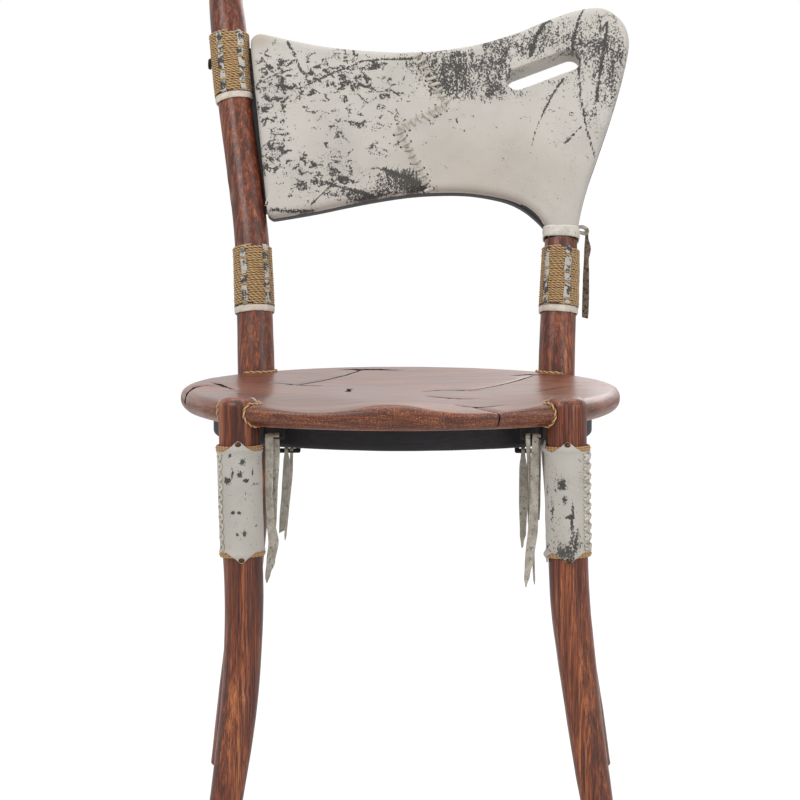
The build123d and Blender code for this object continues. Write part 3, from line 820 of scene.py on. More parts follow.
    @staticmethod
    def grid(name: str, across: int, along: int, place: Callable[[float, float], Vector],
             closed: bool = False) -> Piece:
        """Sheet that starts as a flat grid and is carried over to its form.

        Args:
            name: Name of the piece.
            across: Cells across.
            along: Cells along.
            place: Position for shares from 0 to 1 across and along.
            closed: Whether the two long edges meet and are merged.

        Returns:
            The sheet.
        """
        piece = Bench.primitive("grid", x_subdivisions=across, y_subdivisions=along, size=1)
        piece.name = name
        flat = Bench.points(piece)
        Bench.move(piece, np.array([tuple(place(x + 0.5, y + 0.5)) for x, y, _ in flat]))
        if closed:
            Bench.edit(piece)
            bpy.ops.mesh.remove_doubles(threshold=0.001)
            Bench.close()
        return piece

    @staticmethod
    def join(name: str, pieces: Sequence[Piece]) -> Piece:
        """Joins pieces into one.

        Args:
            name: Name of the whole.
            pieces: Its pieces.

        Returns:
            The whole.
        """
        Bench.take(*pieces)
        if len(pieces) > 1:
            bpy.ops.object.join()
        joined = bpy.context.object
        joined.name = name
        return joined

    @staticmethod
    def copy(piece: Piece, matrix: Matrix) -> Piece:
        """Copy of a piece, with its own mesh, moved by a matrix.

        Args:
            piece: The piece.
            matrix: The move.

        Returns:
            The copy.
        """
        twin = bpy.data.objects.new(piece.name, piece.data.copy())
        bpy.context.scene.collection.objects.link(twin)
        twin.data.transform(matrix)
        return twin

    @staticmethod
    def drop(piece: Piece) -> None:
        """Throws a helper away."""
        bpy.data.objects.remove(piece, do_unlink=True)

    @staticmethod
    def carve(piece: Piece, cutter: Piece) -> None:
        """Cuts a piece by another, which is thrown away; a failed cut is made again, a hair aside.

        Args:
            piece: The piece.
            cutter: The other one.
        """
        before = piece.data.copy()
        for solver in ("MANIFOLD", "EXACT", "MANIFOLD", "EXACT"):
            Bench.modify(piece, "BOOLEAN", object=cutter, operation="DIFFERENCE", solver=solver)
            faces = len(piece.data.polygons)
            if faces > len(before.polygons) // 2 and faces != len(before.polygons):
                break
            LOG.info("cut of %s made again", piece.name)
            piece.data = before.copy()
            if solver == "EXACT":
                cutter.data.transform(Matrix.Translation(HAIR))
        Bench.drop(cutter)

    @staticmethod
    def deliver(piece: Piece, name: str, slot: str, finishes: Sequence[Finish],
                replaces: Sequence[str] = (), body: str = BODY, angle: float = 180.0) -> Piece:
        """Brings a finished piece to metres and hands it to the frame.

        Args:
            piece: The piece, in millimetres in the maker's frame.
            name: Its name.
            slot: Material slot of the record; not used.
            finishes: Its finishes, in the order of its material indices.
            replaces: CAD nodes that it stands for.
            body: Body that it rides on.
            angle: Greatest angle between two faces that is shaded smooth, in degrees.

        Returns:
            The piece.
        """
        piece.name = name
        piece.data.name = name
        indices = [face.material_index for face in piece.data.polygons]
        piece.data.materials.clear()
        for finish in finishes:
            piece.data.materials.append(finish.material())
        for face, index in zip(piece.data.polygons, indices):
            face.material_index = min(index, len(finishes) - 1)
        piece.data.transform(Matrix.Scale(MM, 4) @ Matrix.Translation(ORIGIN_SHIFT))
        Bench.take(piece)
        if angle < 180:
            bpy.ops.object.shade_smooth_by_angle(angle=math.radians(angle))
        else:
            bpy.ops.object.shade_smooth()
        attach(piece, body)
        if replaces:
            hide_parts(*replaces)
        LOG.info("%s: %d faces", name, len(piece.data.polygons))
        return piece


def soft_least(first: float, second: float, soft: float, base: float) -> float:
    """Lesser of two values, with a soft change from one to the other; a base near both keeps it exact."""
    return -soft * math.log(math.exp(-(first - base) / soft) + math.exp(-(second - base) / soft)) + base


def fractal(point: Sequence[float], size: float, seed: float = 0.0) -> float:
    """Smooth random value of about -1 to 1 at a point, with features of a given size."""
    place = Vector(point) / size + Vector((seed, seed * 1.7, seed * 0.6))
    return noise.noise(place) + 0.5 * noise.noise(place * 2.1)


# ---------------------------------------------------------------- poles


@dataclass(frozen=True)
class Pole:
    """Round carved pole through stations of x, y, z and diameter, from the top down."""

    stations: Rows

    def at(self, z: float) -> tuple[Vector, float]:
        """Centre and radius at a height.

        Args:
            z: Height above the floor.

        Returns:
            The centre and the radius.
        """
        rows = self.stations
        index = 0
        while index < len(rows) - 2 and z < rows[index + 1][2]:
            index += 1
        a, b = rows[index], rows[index + 1]
        before = rows[max(0, index - 1)]
        after = rows[min(len(rows) - 1, index + 2)]
        share = (z - a[2]) / (b[2] - a[2])
        values = []
        for axis in (0, 1, 3):
            span = b[2] - a[2]
            slope_a = (b[axis] - before[axis]) / (b[2] - before[2]) * span
            slope_b = (after[axis] - a[axis]) / (after[2] - a[2]) * span
            t2, t3 = share * share, share**3
            values.append(
                (2 * t3 - 3 * t2 + 1) * a[axis] + (t3 - 2 * t2 + share) * slope_a
                + (3 * t2 - 2 * t3) * b[axis] + (t3 - t2) * slope_b
            )
        return Vector((values[0], values[1], z)), values[2] / 2

    def frame(self, z: float) -> tuple[Vector, Vector, Vector, Vector, float]:
        """Centre, sideways, rearward and upward directions, and radius at a height.

        Args:
            z: Height above the floor.

        Returns:
            Centre, the three directions and the radius.
        """
        centre, radius = self.at(z)
        up = (self.at(z + 1)[0] - self.at(z - 1)[0]).normalized()
        side = (Vector((1, 0, 0)) - up * up.x).normalized()
        return centre, side, up.cross(side), up, radius

    def skin(self, z: float, angle: float, proud: float = 0.0) -> Vector:
        """Point on the pole's skin.

        Args:
            z: Height above the floor.
            angle: Degrees from the front, positive to the right.
            proud: Distance outside the skin.

        Returns:
            The point.
        """
        centre, side, rear, _, radius = self.frame(z)
        turn = math.radians(angle)
        return centre + (side * math.sin(turn) - rear * math.cos(turn)) * (radius + proud)


FRONT_LEFT = Pole((
    (-172.8, -165.0, 466.0, 43.0), (-172.2, -165.2, 430.0, 43.0), (-171.6, -165.6, 396.0, 43.0),
    (-170.0, -166.5, 330.0, 42.4), (-167.5, -169.0, 250.0, 41.4), (-171.5, -174.0, 160.0, 39.6),
    (-181.5, -181.0, 78.0, 37.0), (-193.0, -189.0, 0.0, 33.0),
))
FRONT_RIGHT = Pole((
    (171.6, -165.0, 466.0, 43.2), (172.0, -165.2, 430.0, 43.2), (172.5, -165.6, 396.0, 43.2),
    (173.6, -166.5, 330.0, 42.6), (176.8, -169.0, 250.0, 42.2), (187.8, -174.0, 160.0, 39.4),
    (199.5, -181.0, 78.0, 36.2), (212.0, -189.0, 0.0, 32.0),
))
REAR_LEFT = Pole((
    (-211.3, 298.8, 886.0, 39.0), (-207.5, 287.2, 852.0, 41.4), (-202.5, 270.0, 796.0, 39.8),
    (-194.0, 249.0, 732.0, 39.0), (-184.5, 228.0, 668.0, 38.6), (-177.5, 209.0, 610.0, 39.6),
    (-173.0, 187.0, 522.0, 41.6), (-171.3, 175.6, 472.0, 42.3), (-171.0, 170.6, 428.0, 42.2),
    (-172.8, 170.6, 380.0, 41.0), (-180.0, 180.0, 270.0, 38.0), (-191.0, 191.0, 160.0, 35.0),
    (-202.5, 203.0, 78.0, 33.0), (-213.0, 213.0, 0.0, 30.0),
))
REAR_RIGHT = Pole((
    (177.3, 210.0, 612.0, 37.4), (175.8, 200.0, 575.0, 39.4), (173.5, 186.5, 522.0, 41.0),
    (171.8, 175.6, 472.0, 42.1), (172.0, 170.6, 428.0, 42.0), (174.2, 170.6, 380.0, 41.0),
    (182.5, 180.0, 270.0, 38.0), (196.0, 191.0, 160.0, 35.0), (210.5, 203.0, 78.0, 33.0),
    (223.0, 213.0, 0.0, 30.0),
))


class Top(Enum):
    """How a pole ends at its top, and how far below its first station the even rings stop."""

    LEVEL = 13.0
    DOMED = 0.0
    NECK = 6.0


DOME_RINGS = (10, 20, 30, 40, 50, 59, 68, 76, 83, 88)  # degrees up the dome


@dataclass
class CarvedPole:
    """One carved pole, cut to length, rounded at its ends and worked over by hand."""

    name: str
    pole: Pole
    top: Top
    seed: float
    knots: Rows = ()
    sides: int = 48
    step: float = 5.0
    foot_round: float = 3.5
    top_round: float = 10.0
    proud: float = 4.2
    girth: float = 22.0
    stretch: float = 0.28
    facet: float = 13.0
    uneven: float = 0.34
    sunk: float = 0.22
    lip: float = 0.35

    def build(self) -> Piece:
        """Makes the pole.

        Returns:
            The delivered piece.
        """
        rows = self.pole.stations
        high = rows[0][2] - self.top.value
        count = math.ceil((high - 6) / self.step)
        heights = [-12, -6] + [6 + (high - 6) * index / count for index in range(count + 1)]
        if self.top is not Top.DOMED:
            heights += [rows[0][2] + 9, rows[0][2] + 15]
        path, radii = [], []
        for z in heights:
            centre, radius = self.pole.at(z)
            path.append(tuple(centre))
            radii.append(radius)
        if self.top is Top.DOMED:
            centre, _, _, up, radius = self.pole.frame(high)
            for turn in DOME_RINGS:
                path.append(tuple(centre + up * (radius * math.sin(math.radians(turn)))))
                radii.append(radius * math.cos(math.radians(turn)))
        piece = Bench.tube(self.name, path, radii, self.sides)
        Bench.heal(piece)
        self._saw(piece, Vector((0, 0, 0)), Vector((0, 0, -1)))
        if self.top is Top.LEVEL:
            self._saw(piece, Vector((0, 0, rows[0][2] + self.proud)), Vector((0, 0, 1)))
        elif self.top is Top.NECK:
            lean = math.radians(PANEL_LEAN)
            self._saw(piece, Vector((0, *PANEL_FOOT)), Vector((0, math.sin(lean), math.cos(lean))))
        self._round(piece, lambda z: z < 1, self.foot_round, 3)
        if self.top is Top.LEVEL:
            self._round(piece, lambda z: z > rows[0][2] + 1, self.top_round, 7)
        self._work_over(piece)
        finishes = [OiledPole(self.seed)]
        return Bench.deliver(piece, f"{self.name}_carved", "pole_wood", finishes, [self.name], angle=50)

    @staticmethod
    def _saw(piece: Piece, point: Vector, normal: Vector) -> None:
        """Saws off what lies beyond a plane and closes the cut.

        Args:
            piece: The pole.
            point: Point of the plane.
            normal: Direction of what goes.
        """
        Bench.edit(piece)
        bpy.ops.mesh.bisect(plane_co=point, plane_no=normal, use_fill=True, clear_outer=True)
        Bench.close()

    @staticmethod
    def _round(piece: Piece, near: Callable[[float], bool], radius: float, segments: int) -> None:
        """Rounds the rim of the large end face near a height.

        Args:
            piece: The pole.
            near: Whether a height is near the end.
            radius: Radius of the rim.
            segments: Facets round it.
        """
        def rim(edge: bmesh.types.BMEdge) -> bool:
            """Whether an edge borders an end face.

            Args:
                edge: The edge.

            Returns:
                True on the rim.
            """
            sizes = [len(face.verts) for face in edge.link_faces]
            level = near(edge.verts[0].co.z) and near(edge.verts[1].co.z)
            return level and max(sizes) > 8 >= min(sizes)

        Bench.edit(piece, rim, "EDGE")
        bpy.ops.mesh.bevel(offset=radius, segments=segments, affect="EDGES")
        Bench.close()

    def _work_over(self, piece: Piece) -> None:
        """Adds the slight unevenness of hand carving, and the knots.

        Args:
            piece: The pole.
        """
        points, normals = Bench.points(piece), Bench.normals(piece)
        for index, point in enumerate(points):
            axis, _ = self.pole.at(min(max(point[2], 0), self.pole.stations[0][2]))
            turn = math.atan2(point[0] - axis.x, -(point[1] - axis.y))
            around = (math.sin(turn) * self.girth, math.cos(turn) * self.girth, point[2] * self.stretch)
            depth = self.uneven * fractal(around, self.facet, self.seed) - self.sunk
            side = smooth(point[2], 0.5, 8)
            for z, angle, size, deep in self.knots:
                off = (math.degrees(turn) - angle + 180) % 360 - 180
                reach = math.hypot(off / RADIAN * 20, (point[2] - z) * 0.8) / size
                lip = deep * self.lip * math.exp(-((reach - 1.5) ** 2) * 3)
                depth -= deep * math.exp(-reach * reach) - lip
            points[index] = point + normals[index] * depth * side
        Bench.move(piece, points)


# ---------------------------------------------------------------- seat


@dataclass(frozen=True)
class SeatForm:
    """Measures of the seat plank and of its carved top."""

    centre: tuple[float, float] = (-4.5, 4.0)
    half: tuple[float, float] = (240.5, 236.0)
    top: float = 465.0
    thickness: float = 25.0
    rim: float = 12.0
    corners: tuple[float, float] = (-134.5, -44.5)
    corner_swell: float = 0.056
    corner_width: float = 19.0
    dish_depth: float = 6.0
    dish_spread: float = 6343.0
    dish_back: float = 20.0
    thighs: Rows = ((-100.0, 640.0), (86.0, 760.0))
    thigh_depth: float = 9.4
    thigh_slope: float = 1.9
    merge: float = 1.1
    nose_rise: float = 1.4
    nose_peak: float = 1.8

    def swell(self, x: float, y: float) -> float:
        """Share by which the rim stands out round the front legs, in the direction of a place.

        Args:
            x: Place across the seat.
            y: Place along the seat.

        Returns:
            The share.
        """
        turn = math.degrees(math.atan2(y - self.centre[1], x - self.centre[0]))
        bumps = (math.exp(-(((turn - corner) / self.corner_width) ** 2)) for corner in self.corners)
        return sum(self.corner_swell * bump for bump in bumps)

    def plain(self, x: float, y: float) -> float:
        """Distance from the middle as a share of the even oval's distance."""
        return math.hypot((x - self.centre[0]) / self.half[0], (y - self.centre[1]) / self.half[1])

    def reach(self, x: float, y: float) -> float:
        """Distance from the middle as a share of the rim's distance."""
        return self.plain(x, y) / (1 + self.swell(x, y))

    def hollow(self, x: float, y: float) -> float:
        """Depth of the carved top below the plank's level top.

        Args:
            x: Place across the seat.
            y: Place along the seat.

        Returns:
            The depth, with the dish and the two thigh hollows softly merged.
        """
        away = math.hypot(x - self.centre[0], y - self.centre[1] - self.dish_back)
        depths = [0.0, self.dish_depth - away * away / self.dish_spread]
        front = y - (self.centre[1] - self.half[1])
        for middle, spread in self.thighs:
            across = x - middle
            fall = front * math.tan(math.radians(self.thigh_slope))
            depths.append(self.thigh_depth - fall - across * across / spread)
        total = sum(math.exp(max(depth, -30) / self.merge) for depth in depths)
        return self.merge * math.log(total) - self.merge * 0.69

    def nose(self, x: float, y: float) -> float:
        """Height by which the front of the rim rises."""
        peak = self.nose_peak * math.exp(-(((x + 18) / 45) ** 2))
        return (self.nose_rise + peak) * smooth(-150 - y, 0, 60)

    def under_nose(self, x: float, y: float) -> float:
        """Height by which the underside follows the nose, close to the rim alone."""
        return self.nose(x, y) * smooth(self.reach(x, y), 0.95, 0.985)

    def _rounding(self, x: float, y: float) -> float:
        """Height that the round rim takes from the plank's faces at a place.

        Args:
            x: Place across the seat.
            y: Place along the seat.

        Returns:
            The height.
        """
        inside = (1 - self.reach(x, y)) * (self.half[0] + self.half[1]) / 2
        if inside >= self.rim:
            return 0.0
        return self.rim - math.sqrt(max(0.0, self.rim**2 - (self.rim - max(inside, 0)) ** 2))

    def surface(self, x: float, y: float) -> float:
        """Height of the top at a place, with the round rim."""
        plate = self.top - self._rounding(x, y)
        return min(plate, self.top - self.hollow(x, y)) + self.nose(x, y)

    def underside(self, x: float, y: float) -> float:
        """Height of the underside at a place, with the round rim."""
        return self.top - self.thickness + self._rounding(x, y) + self.under_nose(x, y)


@dataclass(frozen=True)
class Crack:
    """Crack or carved mark in the seat: a row of x, y, half width and depth."""

    row: Rows
    shoulder: float = 0.7


CRACKS = (
    Crack(((-238, -92, 1.1, 22), (-236, -58, 1.1, 14), (-232, -28, 1.2, 9), (-229, -1, 1.7, 7),
           (-217, 15, 2.2, 6), (-207, 5, 1.4, 4), (-195, -1, 0.2, 2)), 1.6),
    Crack(((-211, 41, 1.2, 4), (-206, 30, 3.4, 5), (-197, 5, 2.2, 4), (-185, -28, 0.2, 2)), 1.0),
    Crack(((-147, 57, 0.2, 2), (-133, 52, 2.0, 4), (-116, 43, 2.2, 4), (-94, 41, 0.2, 2)), 0.8),
    Crack(((-128, 44, 0.3, 3), (-116, 54, 1.1, 4), (-95, 91, 1.3, 5), (-69, 149, 1.3, 5),
           (-52, 200, 1.2, 4)), 0.9),
    Crack(((-76, 196, 0.2, 2), (-58, 200, 4.6, 4), (-30, 199, 4.6, 4), (-6, 196, 0.2, 2)), 0.3),
    Crack(((-61, -16, 3.4, 3), (-61.5, -6, 2.6, 2.5), (-61, 2, 1.6, 2.5), (-61, 10, 3.0, 2.5),
           (-60, 16, 3.4, 3)), 0.4),
    Crack(((21, -7, 0.2, 2), (34, 1, 2.0, 4), (50, 3, 2.4, 4), (66, 0, 1.8, 3), (80, -8, 0.2, 2)), 0.7),
    Crack(((26, -70, 0.2, 2), (38, -84, 1.8, 4), (50, -95, 2.4, 5), (63, -95, 1.8, 4),
           (77, -90, 0.2, 2)), 0.8),
    Crack(((55, -152, 0.2, 2), (68, -160, 1.6, 4), (80.5, -162, 2.2, 5), (94, -154, 1.6, 4),
           (107, -145, 0.2, 2)), 0.6),
    Crack(((58, -7, 0.1, 1.5), (78, 8, 1.2, 4), (105, 49, 1.4, 5), (128, 94, 1.2, 4),
           (143, 132, 1.0, 3)), 0.8),
    Crack(((118, 134, 0.2, 2), (136, 141, 3.6, 3), (156, 138, 3.0, 3), (172, 128, 0.2, 2)), 0.4),
    Crack(((76, -166, 0.2, 2), (84, -178, 0.6, 5), (92, -194, 0.7, 8), (98, -206, 0.8, 13),
           (102, -216, 0.8, 19), (104, -228, 0.8, 23), (104.5, -242, 0.8, 26)), 1.6),
    Crack(((142, -45, 0.1, 1.2), (156, -24, 1.0, 2), (170, -2, 1.0, 2), (198, 20, 0.1, 1.2)), 0.3),
)


def segment_distance(x: np.ndarray, y: np.ndarray, start: Sequence[float],
                     end: Sequence[float]) -> np.ndarray:
    """Distance of many places from one straight piece of line.

    Args:
        x: Places across.
        y: Places along.
        start: Start of the line.
        end: Its end.

    Returns:
        One distance for each place.
    """
    run = np.array([end[0] - start[0], end[1] - start[1]])
    share = ((x - start[0]) * run[0] + (y - start[1]) * run[1]) / max(1e-9, float(run @ run))
    share = np.clip(share, 0, 1)
    return np.hypot(x - start[0] - share * run[0], y - start[1] - share * run[1])


SEAT_FINISHES = (OiledPlank(), CrackShade())


@dataclass
class Seat:
    """The carved seat plank, with its notches, cracks and cord trims, and the black board below."""

    form: SeatForm = field(default_factory=SeatForm)
    rings: int = 66
    around: int = 480
    mean_half: float = 238.0
    play: float = 3.0
    ribbon: float = 1.15
    board_top: float = 440.0
    board_thickness: float = 28.0
    board_half: tuple[float, float] = (207.0, 166.0)

    def build(self) -> None:
        """Makes the plank, the board and the four trims."""
        plank = self._plank()
        self._carve(plank)
        legs = {
            "front_left": FRONT_LEFT, "front_right": FRONT_RIGHT,
            "rear_left": REAR_LEFT, "rear_right": REAR_RIGHT,
        }
        for pole in legs.values():
            Bench.carve(plank, self._notch(pole))
        for index, crack in enumerate(CRACKS):
            Bench.carve(plank, self._ribbon(index, crack))
        points = Bench.points(plank)
        edge = []
        for x, y, z in points:
            inside = (1 - self.form.reach(x, y)) * self.mean_half
            edge.append(1 - smooth(inside, 4, 12) if z > self.form.top - 20 else 1.0)
        Bench.paint(plank, "edge", edge)
        Bench.paint(plank, "lips", self._near_cracks(points))
        LOG.info("seat heights %.1f to %.1f", points[:, 2].min(), points[:, 2].max())
        Bench.deliver(plank, "seat_carved", "seat_wood", SEAT_FINISHES, ["seat"], angle=38)
        self._board()
        for name, pole in legs.items():
            self._trim(name, pole)

    @staticmethod
    def _near_cracks(points: np.ndarray) -> np.ndarray:
        """Share from 0 to 1 by which each place lies beside a crack.

        Args:
            points: The places.

        Returns:
            One share for each place.
        """
        share = np.zeros(len(points))
        for crack in CRACKS:
            for start, end in zip(crack.row, crack.row[1:]):
                away = segment_distance(points[:, 0], points[:, 1], start, end)
                share = np.maximum(share, np.exp(-((away / (1.6 + 0.9 * max(start[2], end[2]))) ** 2)))
        return share

    def _plank(self) -> Piece:
        """Oval plank with round edges and a fine top.

        Returns:
            The plank.
        """
        form = self.form
        plank = Bench.primitive(
            "cylinder", vertices=self.around, radius=1, depth=form.thickness, end_fill_type="NGON",
            location=(*form.centre, form.top - form.thickness / 2), scale=(*form.half, 1),
        )
        Bench.dress(plank, SEAT_FINISHES)

        def rim(edge: bmesh.types.BMEdge) -> bool:
            """Whether an edge lies round the top or the bottom face."""
            heights = [vert.co.z for vert in edge.verts]
            return abs(heights[0] - heights[1]) < 0.1 and len(edge.link_faces) == 2

        Bench.edit(plank, rim, "EDGE")
        bpy.ops.mesh.bevel(offset=form.rim, segments=10, affect="EDGES", profile=0.5)
        Bench.close()
        Bench.edit(plank, lambda face: len(face.verts) > 8 and face.calc_center_median().z > form.top - 1)
        for _ in range(self.rings):
            bpy.ops.mesh.inset(thickness=3.2, depth=0, use_even_offset=True)
        Bench.close()
        Bench.heal(plank, 0.0005)
        return plank

    def _carve(self, plank: Piece) -> None:
        """Carves the dish, the hollows, the softened crack shoulders and the tool marks.

        Args:
            plank: The plank.
        """
        points = Bench.points(plank)
        form = self.form
        for index, (px, py, _) in enumerate(points):
            grow = form.swell(px, py) * min(1.0, form.plain(px, py)) ** 5
            points[index][:2] += (points[index][:2] - form.centre) * grow
        x, y = points[:, 0], points[:, 1]
        sink = np.zeros(len(points))
        for crack in CRACKS:
            near = np.full(len(points), 1e9)
            for start, end in zip(crack.row, crack.row[1:]):
                near = np.minimum(near, segment_distance(x, y, start, end))
            sink = np.maximum(sink, crack.shoulder * np.exp(-((near / 4.2) ** 2)))
        for index, (px, py, pz) in enumerate(points):
            if pz < form.top - form.rim - 0.2:
                points[index][2] += form.under_nose(px, py)
                continue
            height = soft_least(pz, form.top - form.hollow(px, py), 1.4, 440)
            wave = 0.22 * fractal((px * 0.45, py, 0), 46, 5.1) + 0.10 * fractal((px, py, 0), 17, 2.2)
            height = height + wave * smooth(form.top + 4 - pz, 0, 4) - sink[index]
            points[index][2] = height + form.nose(px, py)
        inward = np.array([-(x - form.centre[0]), -(y - form.centre[1])]).T
        inward /= np.maximum(1e-6, np.linalg.norm(inward, axis=1))[:, None]
        for index, (px, py, pz) in enumerate(points):
            if form.reach(px, py) > 0.93:
                turn = math.atan2(py, px)
                around = (math.cos(turn) * 240, math.sin(turn) * 240, pz * 1.6)
                amount = 0.55 * fractal(around, 34, 8.0) + 0.45
                share = smooth(form.reach(px, py), 0.93, 0.99)
                points[index][:2] += inward[index] * amount * share
        Bench.move(plank, points)

    def _notch(self, pole: Pole) -> Piece:
        """Cutter for the round notch that takes a pole.

        Args:
            pole: The pole.

        Returns:
            The cutter.
        """
        centre, _, _, up, radius = pole.frame(self.form.top - self.form.thickness / 2)
        turn = up.to_track_quat("Z", "Y").to_euler()
        cutter = Bench.primitive(
            "cylinder", vertices=96, radius=radius + self.play, depth=90, location=centre, rotation=turn,
        )
        return Bench.dress(cutter, SEAT_FINISHES[:1])

    def _ribbon(self, seed: int, crack: Crack) -> Piece:
        """Cutter for one crack: an upright ribbon with ragged sides and pointed ends.

        Args:
            seed: Number of the crack.
            crack: The crack.

        Returns:
            The cutter.
        """
        rows = []
        for start, end in zip(crack.row, crack.row[1:]):
            count = max(2, round(math.dist(start[:2], end[:2]) / 3.5))
            rows += [[a + (b - a) * step / count for a, b in zip(start, end)] for step in range(count)]
        rows.append(list(crack.row[-1]))
        left, right = [], []
        for index, (x, y, half, deep) in enumerate(rows):
            before, after = rows[max(0, index - 1)], rows[min(len(rows) - 1, index + 1)]
            along = Vector((after[0] - before[0], after[1] - before[1])).normalized()
            side = Vector((-along.y, along.x))
            sway = 0.5 * fractal((index * 2.0, seed * 10, 0), 5) if 0 < index < len(rows) - 1 else 0
            middle = Vector((x, y)) + side * sway
            for row, sign in ((left, 1), (right, -1)):
                ragged = 1 + 0.45 * fractal((index * 3.0, sign * 9, seed), 4)
                wide = max(0.15, half * self.ribbon * ragged)
                row.append((middle + side * wide * sign, deep))
        cutter = Bench.primitive("grid", x_subdivisions=len(rows) - 1, y_subdivisions=1, size=1)
        flat = Bench.points(cutter)
        for index, (gx, gy, _) in enumerate(flat):
            place, deep = (left if gy > 0 else right)[round((gx + 0.5) * (len(rows) - 1))]
            flat[index] = (place.x, place.y, self.form.top - self.form.hollow(place.x, place.y) - deep)
        Bench.move(cutter, flat)
        Bench.edit(cutter)
        bpy.ops.mesh.extrude_region_move(TRANSFORM_OT_translate={"value": (0, 0, 1)})
        Bench.close()
        points = Bench.points(cutter)
        low = {(round(px, 3), round(py, 3)): pz for px, py, pz in points[: len(flat)]}
        for index, (px, py, pz) in enumerate(points):
            if pz > low[(round(px, 3), round(py, 3))] + 0.5:
                points[index][2] = self.form.top + 8
        Bench.move(cutter, points)
        Bench.edit(cutter)
        bpy.ops.mesh.normals_make_consistent(inside=False)
        Bench.close()
        return Bench.dress(cutter, SEAT_FINISHES, 1)

    def _board(self) -> None:
        """Black oval board below the plank."""
        board = Bench.primitive(
            "cylinder", vertices=256, radius=1, depth=self.board_thickness, end_fill_type="NGON",
            location=(-2.0, 0.0, self.board_top - self.board_thickness / 2), scale=(*self.board_half, 1),
        )
        low = self.board_top - self.board_thickness + 1
        Bench.edit(board, lambda edge: all(vert.co.z < low for vert in edge.verts), "EDGE")
        bpy.ops.mesh.bevel(offset=6.0, segments=7, affect="EDGES")
        Bench.close()
        points = Bench.points(board)
        for index, (x, y, z) in enumerate(points):
            points[index][2] = z + 0.25 * fractal((x, y, z), 40, 3.3) * (1 if z < 430 else 0)
        Bench.move(board, points)
        Bench.deliver(board, "seat_board_stained", "board_black", [BlackStain()], ["seat_board"], angle=40)

    def _trim(self, name: str, pole: Pole) -> None:
        """Twisted cord that fills the gap round one notch, over the top and under the plank.

        Args:
            name: Corner of the seat.
            pole: The pole in the notch.
        """
        middle = self.form.top - self.form.thickness / 2
        centre, _, _, up, radius = pole.frame(middle)
        gap = radius + 1.9

        def place(turn: float, level: Callable[[float, float], float]) -> Vector | None:
            """Place on the notch's wall at a turn, on the top or the underside.

            Args:
                turn: Angle round the pole, in radians.
                level: Height of the face at a place.

            Returns:
                The place, or None outside the rim.
            """
            x, y = centre.x + gap * math.cos(turn), centre.y + gap * math.sin(turn)
            if self.form.reach(x, y) >= 0.9995:
                return None
            z = level(x, y)
            lean = up * ((z - centre.z) / up.z)
            return Vector((x + lean.x, y + lean.y, z))

        inward = math.atan2(self.form.centre[1] - centre.y, self.form.centre[0] - centre.x)
        turns = [inward + math.radians(step * 0.25) for step in range(-720, 721)]
        above = [spot for spot in (place(turn, self.form.surface) for turn in turns) if spot is not None]
        below = [spot for spot in (place(turn, self.form.underside) for turn in turns) if spot is not None]
        loop = above + below[::-1]
        path = even_path(loop, 0.9, closed=True)
        cord = Twist(radius=1.55, pitch=7.0, sides=10, groove=0.34).lay(f"trim_{name}", path, closed=True)
        Bench.deliver(cord, f"trim_cord_{name}", "cord", [GOLD_FIBRE], [f"seat_trim_{name}"])


# ---------------------------------------------------------------- cords


def even_path(points: Sequence[Vector], step: float, closed: bool = False) -> list[Point]:
    """Path through the same places with an even step.

    Args:
        points: Places along the path.
        step: Wanted distance between two of them.
        closed: Whether the last runs into the first.

    Returns:
        The new places.
    """
    rows = [np.array(tuple(point), float) for point in points]
    if closed:
        rows.append(rows[0])
    line = np.array(rows)
    spans = np.linalg.norm(np.diff(line, axis=0), axis=1)
    keep = np.concatenate(([True], spans > 1e-6))
    line = line[keep]
    arc = np.concatenate(([0.0], np.cumsum(np.linalg.norm(np.diff(line, axis=0), axis=1))))
    count = max(4, round(arc[-1] / step))
    places = np.linspace(0, arc[-1], count + 1)
    if closed:
        places = places[:-1]
    return [tuple(np.interp(place, arc, line[:, axis]) for axis in range(3)) for place in places]


@dataclass(frozen=True)
class Twist:
    """How a cord is twisted."""

    radius: float
    pitch: float
    sides: int = 8
    groove: float = 0.28
    strands: int = 2
    ragged: float = 0.05

    def lay(self, name: str, path: Sequence[Point], closed: bool = False) -> Piece:
        """Lays the cord along a path.

        Args:
            name: Name of the piece.
            path: Even places of its centre line.
            closed: Whether it runs into itself.

        Returns:
            The cord, with its depth between the strands stored on it.
        """
        piece = Bench.tube(name, path, self.radius, self.sides, closed)
        line = np.array(path, float)
        count = len(line)
        rings = Bench.points(piece).reshape(count, self.sides, 3)
        arc = np.concatenate(([0.0], np.cumsum(np.linalg.norm(np.diff(line, axis=0), axis=1))))
        turns = max(1, round(arc[-1] / self.pitch)) if closed else arc[-1] / self.pitch
        corner = np.arange(self.sides) / self.sides * 2 * math.pi
        phase = arc / arc[-1] * turns * 2 * math.pi / self.strands
        wave = 0.5 + 0.5 * np.cos(self.strands * (corner[None, :] - phase[:, None]))
        jitter = np.array([fractal(tuple(point), 6.0, 1.0) for point in line])
        size = 1 - self.groove * (1 - wave) + self.ragged * jitter[:, None]
        moved = line[:, None, :] + (rings - line[:, None, :]) * size[:, :, None]
        Bench.move(piece, moved.reshape(-1, 3))
        Bench.paint(piece, "depth", wave.ravel())
        return piece


# gold cord: its darkest colour is painted shade between the strands, its lightest a painted highlight on the
# crests
GOLD_FIBRE = TwistedFibre(srgb(84, 56, 36), srgb(184, 142, 94), srgb(224, 190, 142))


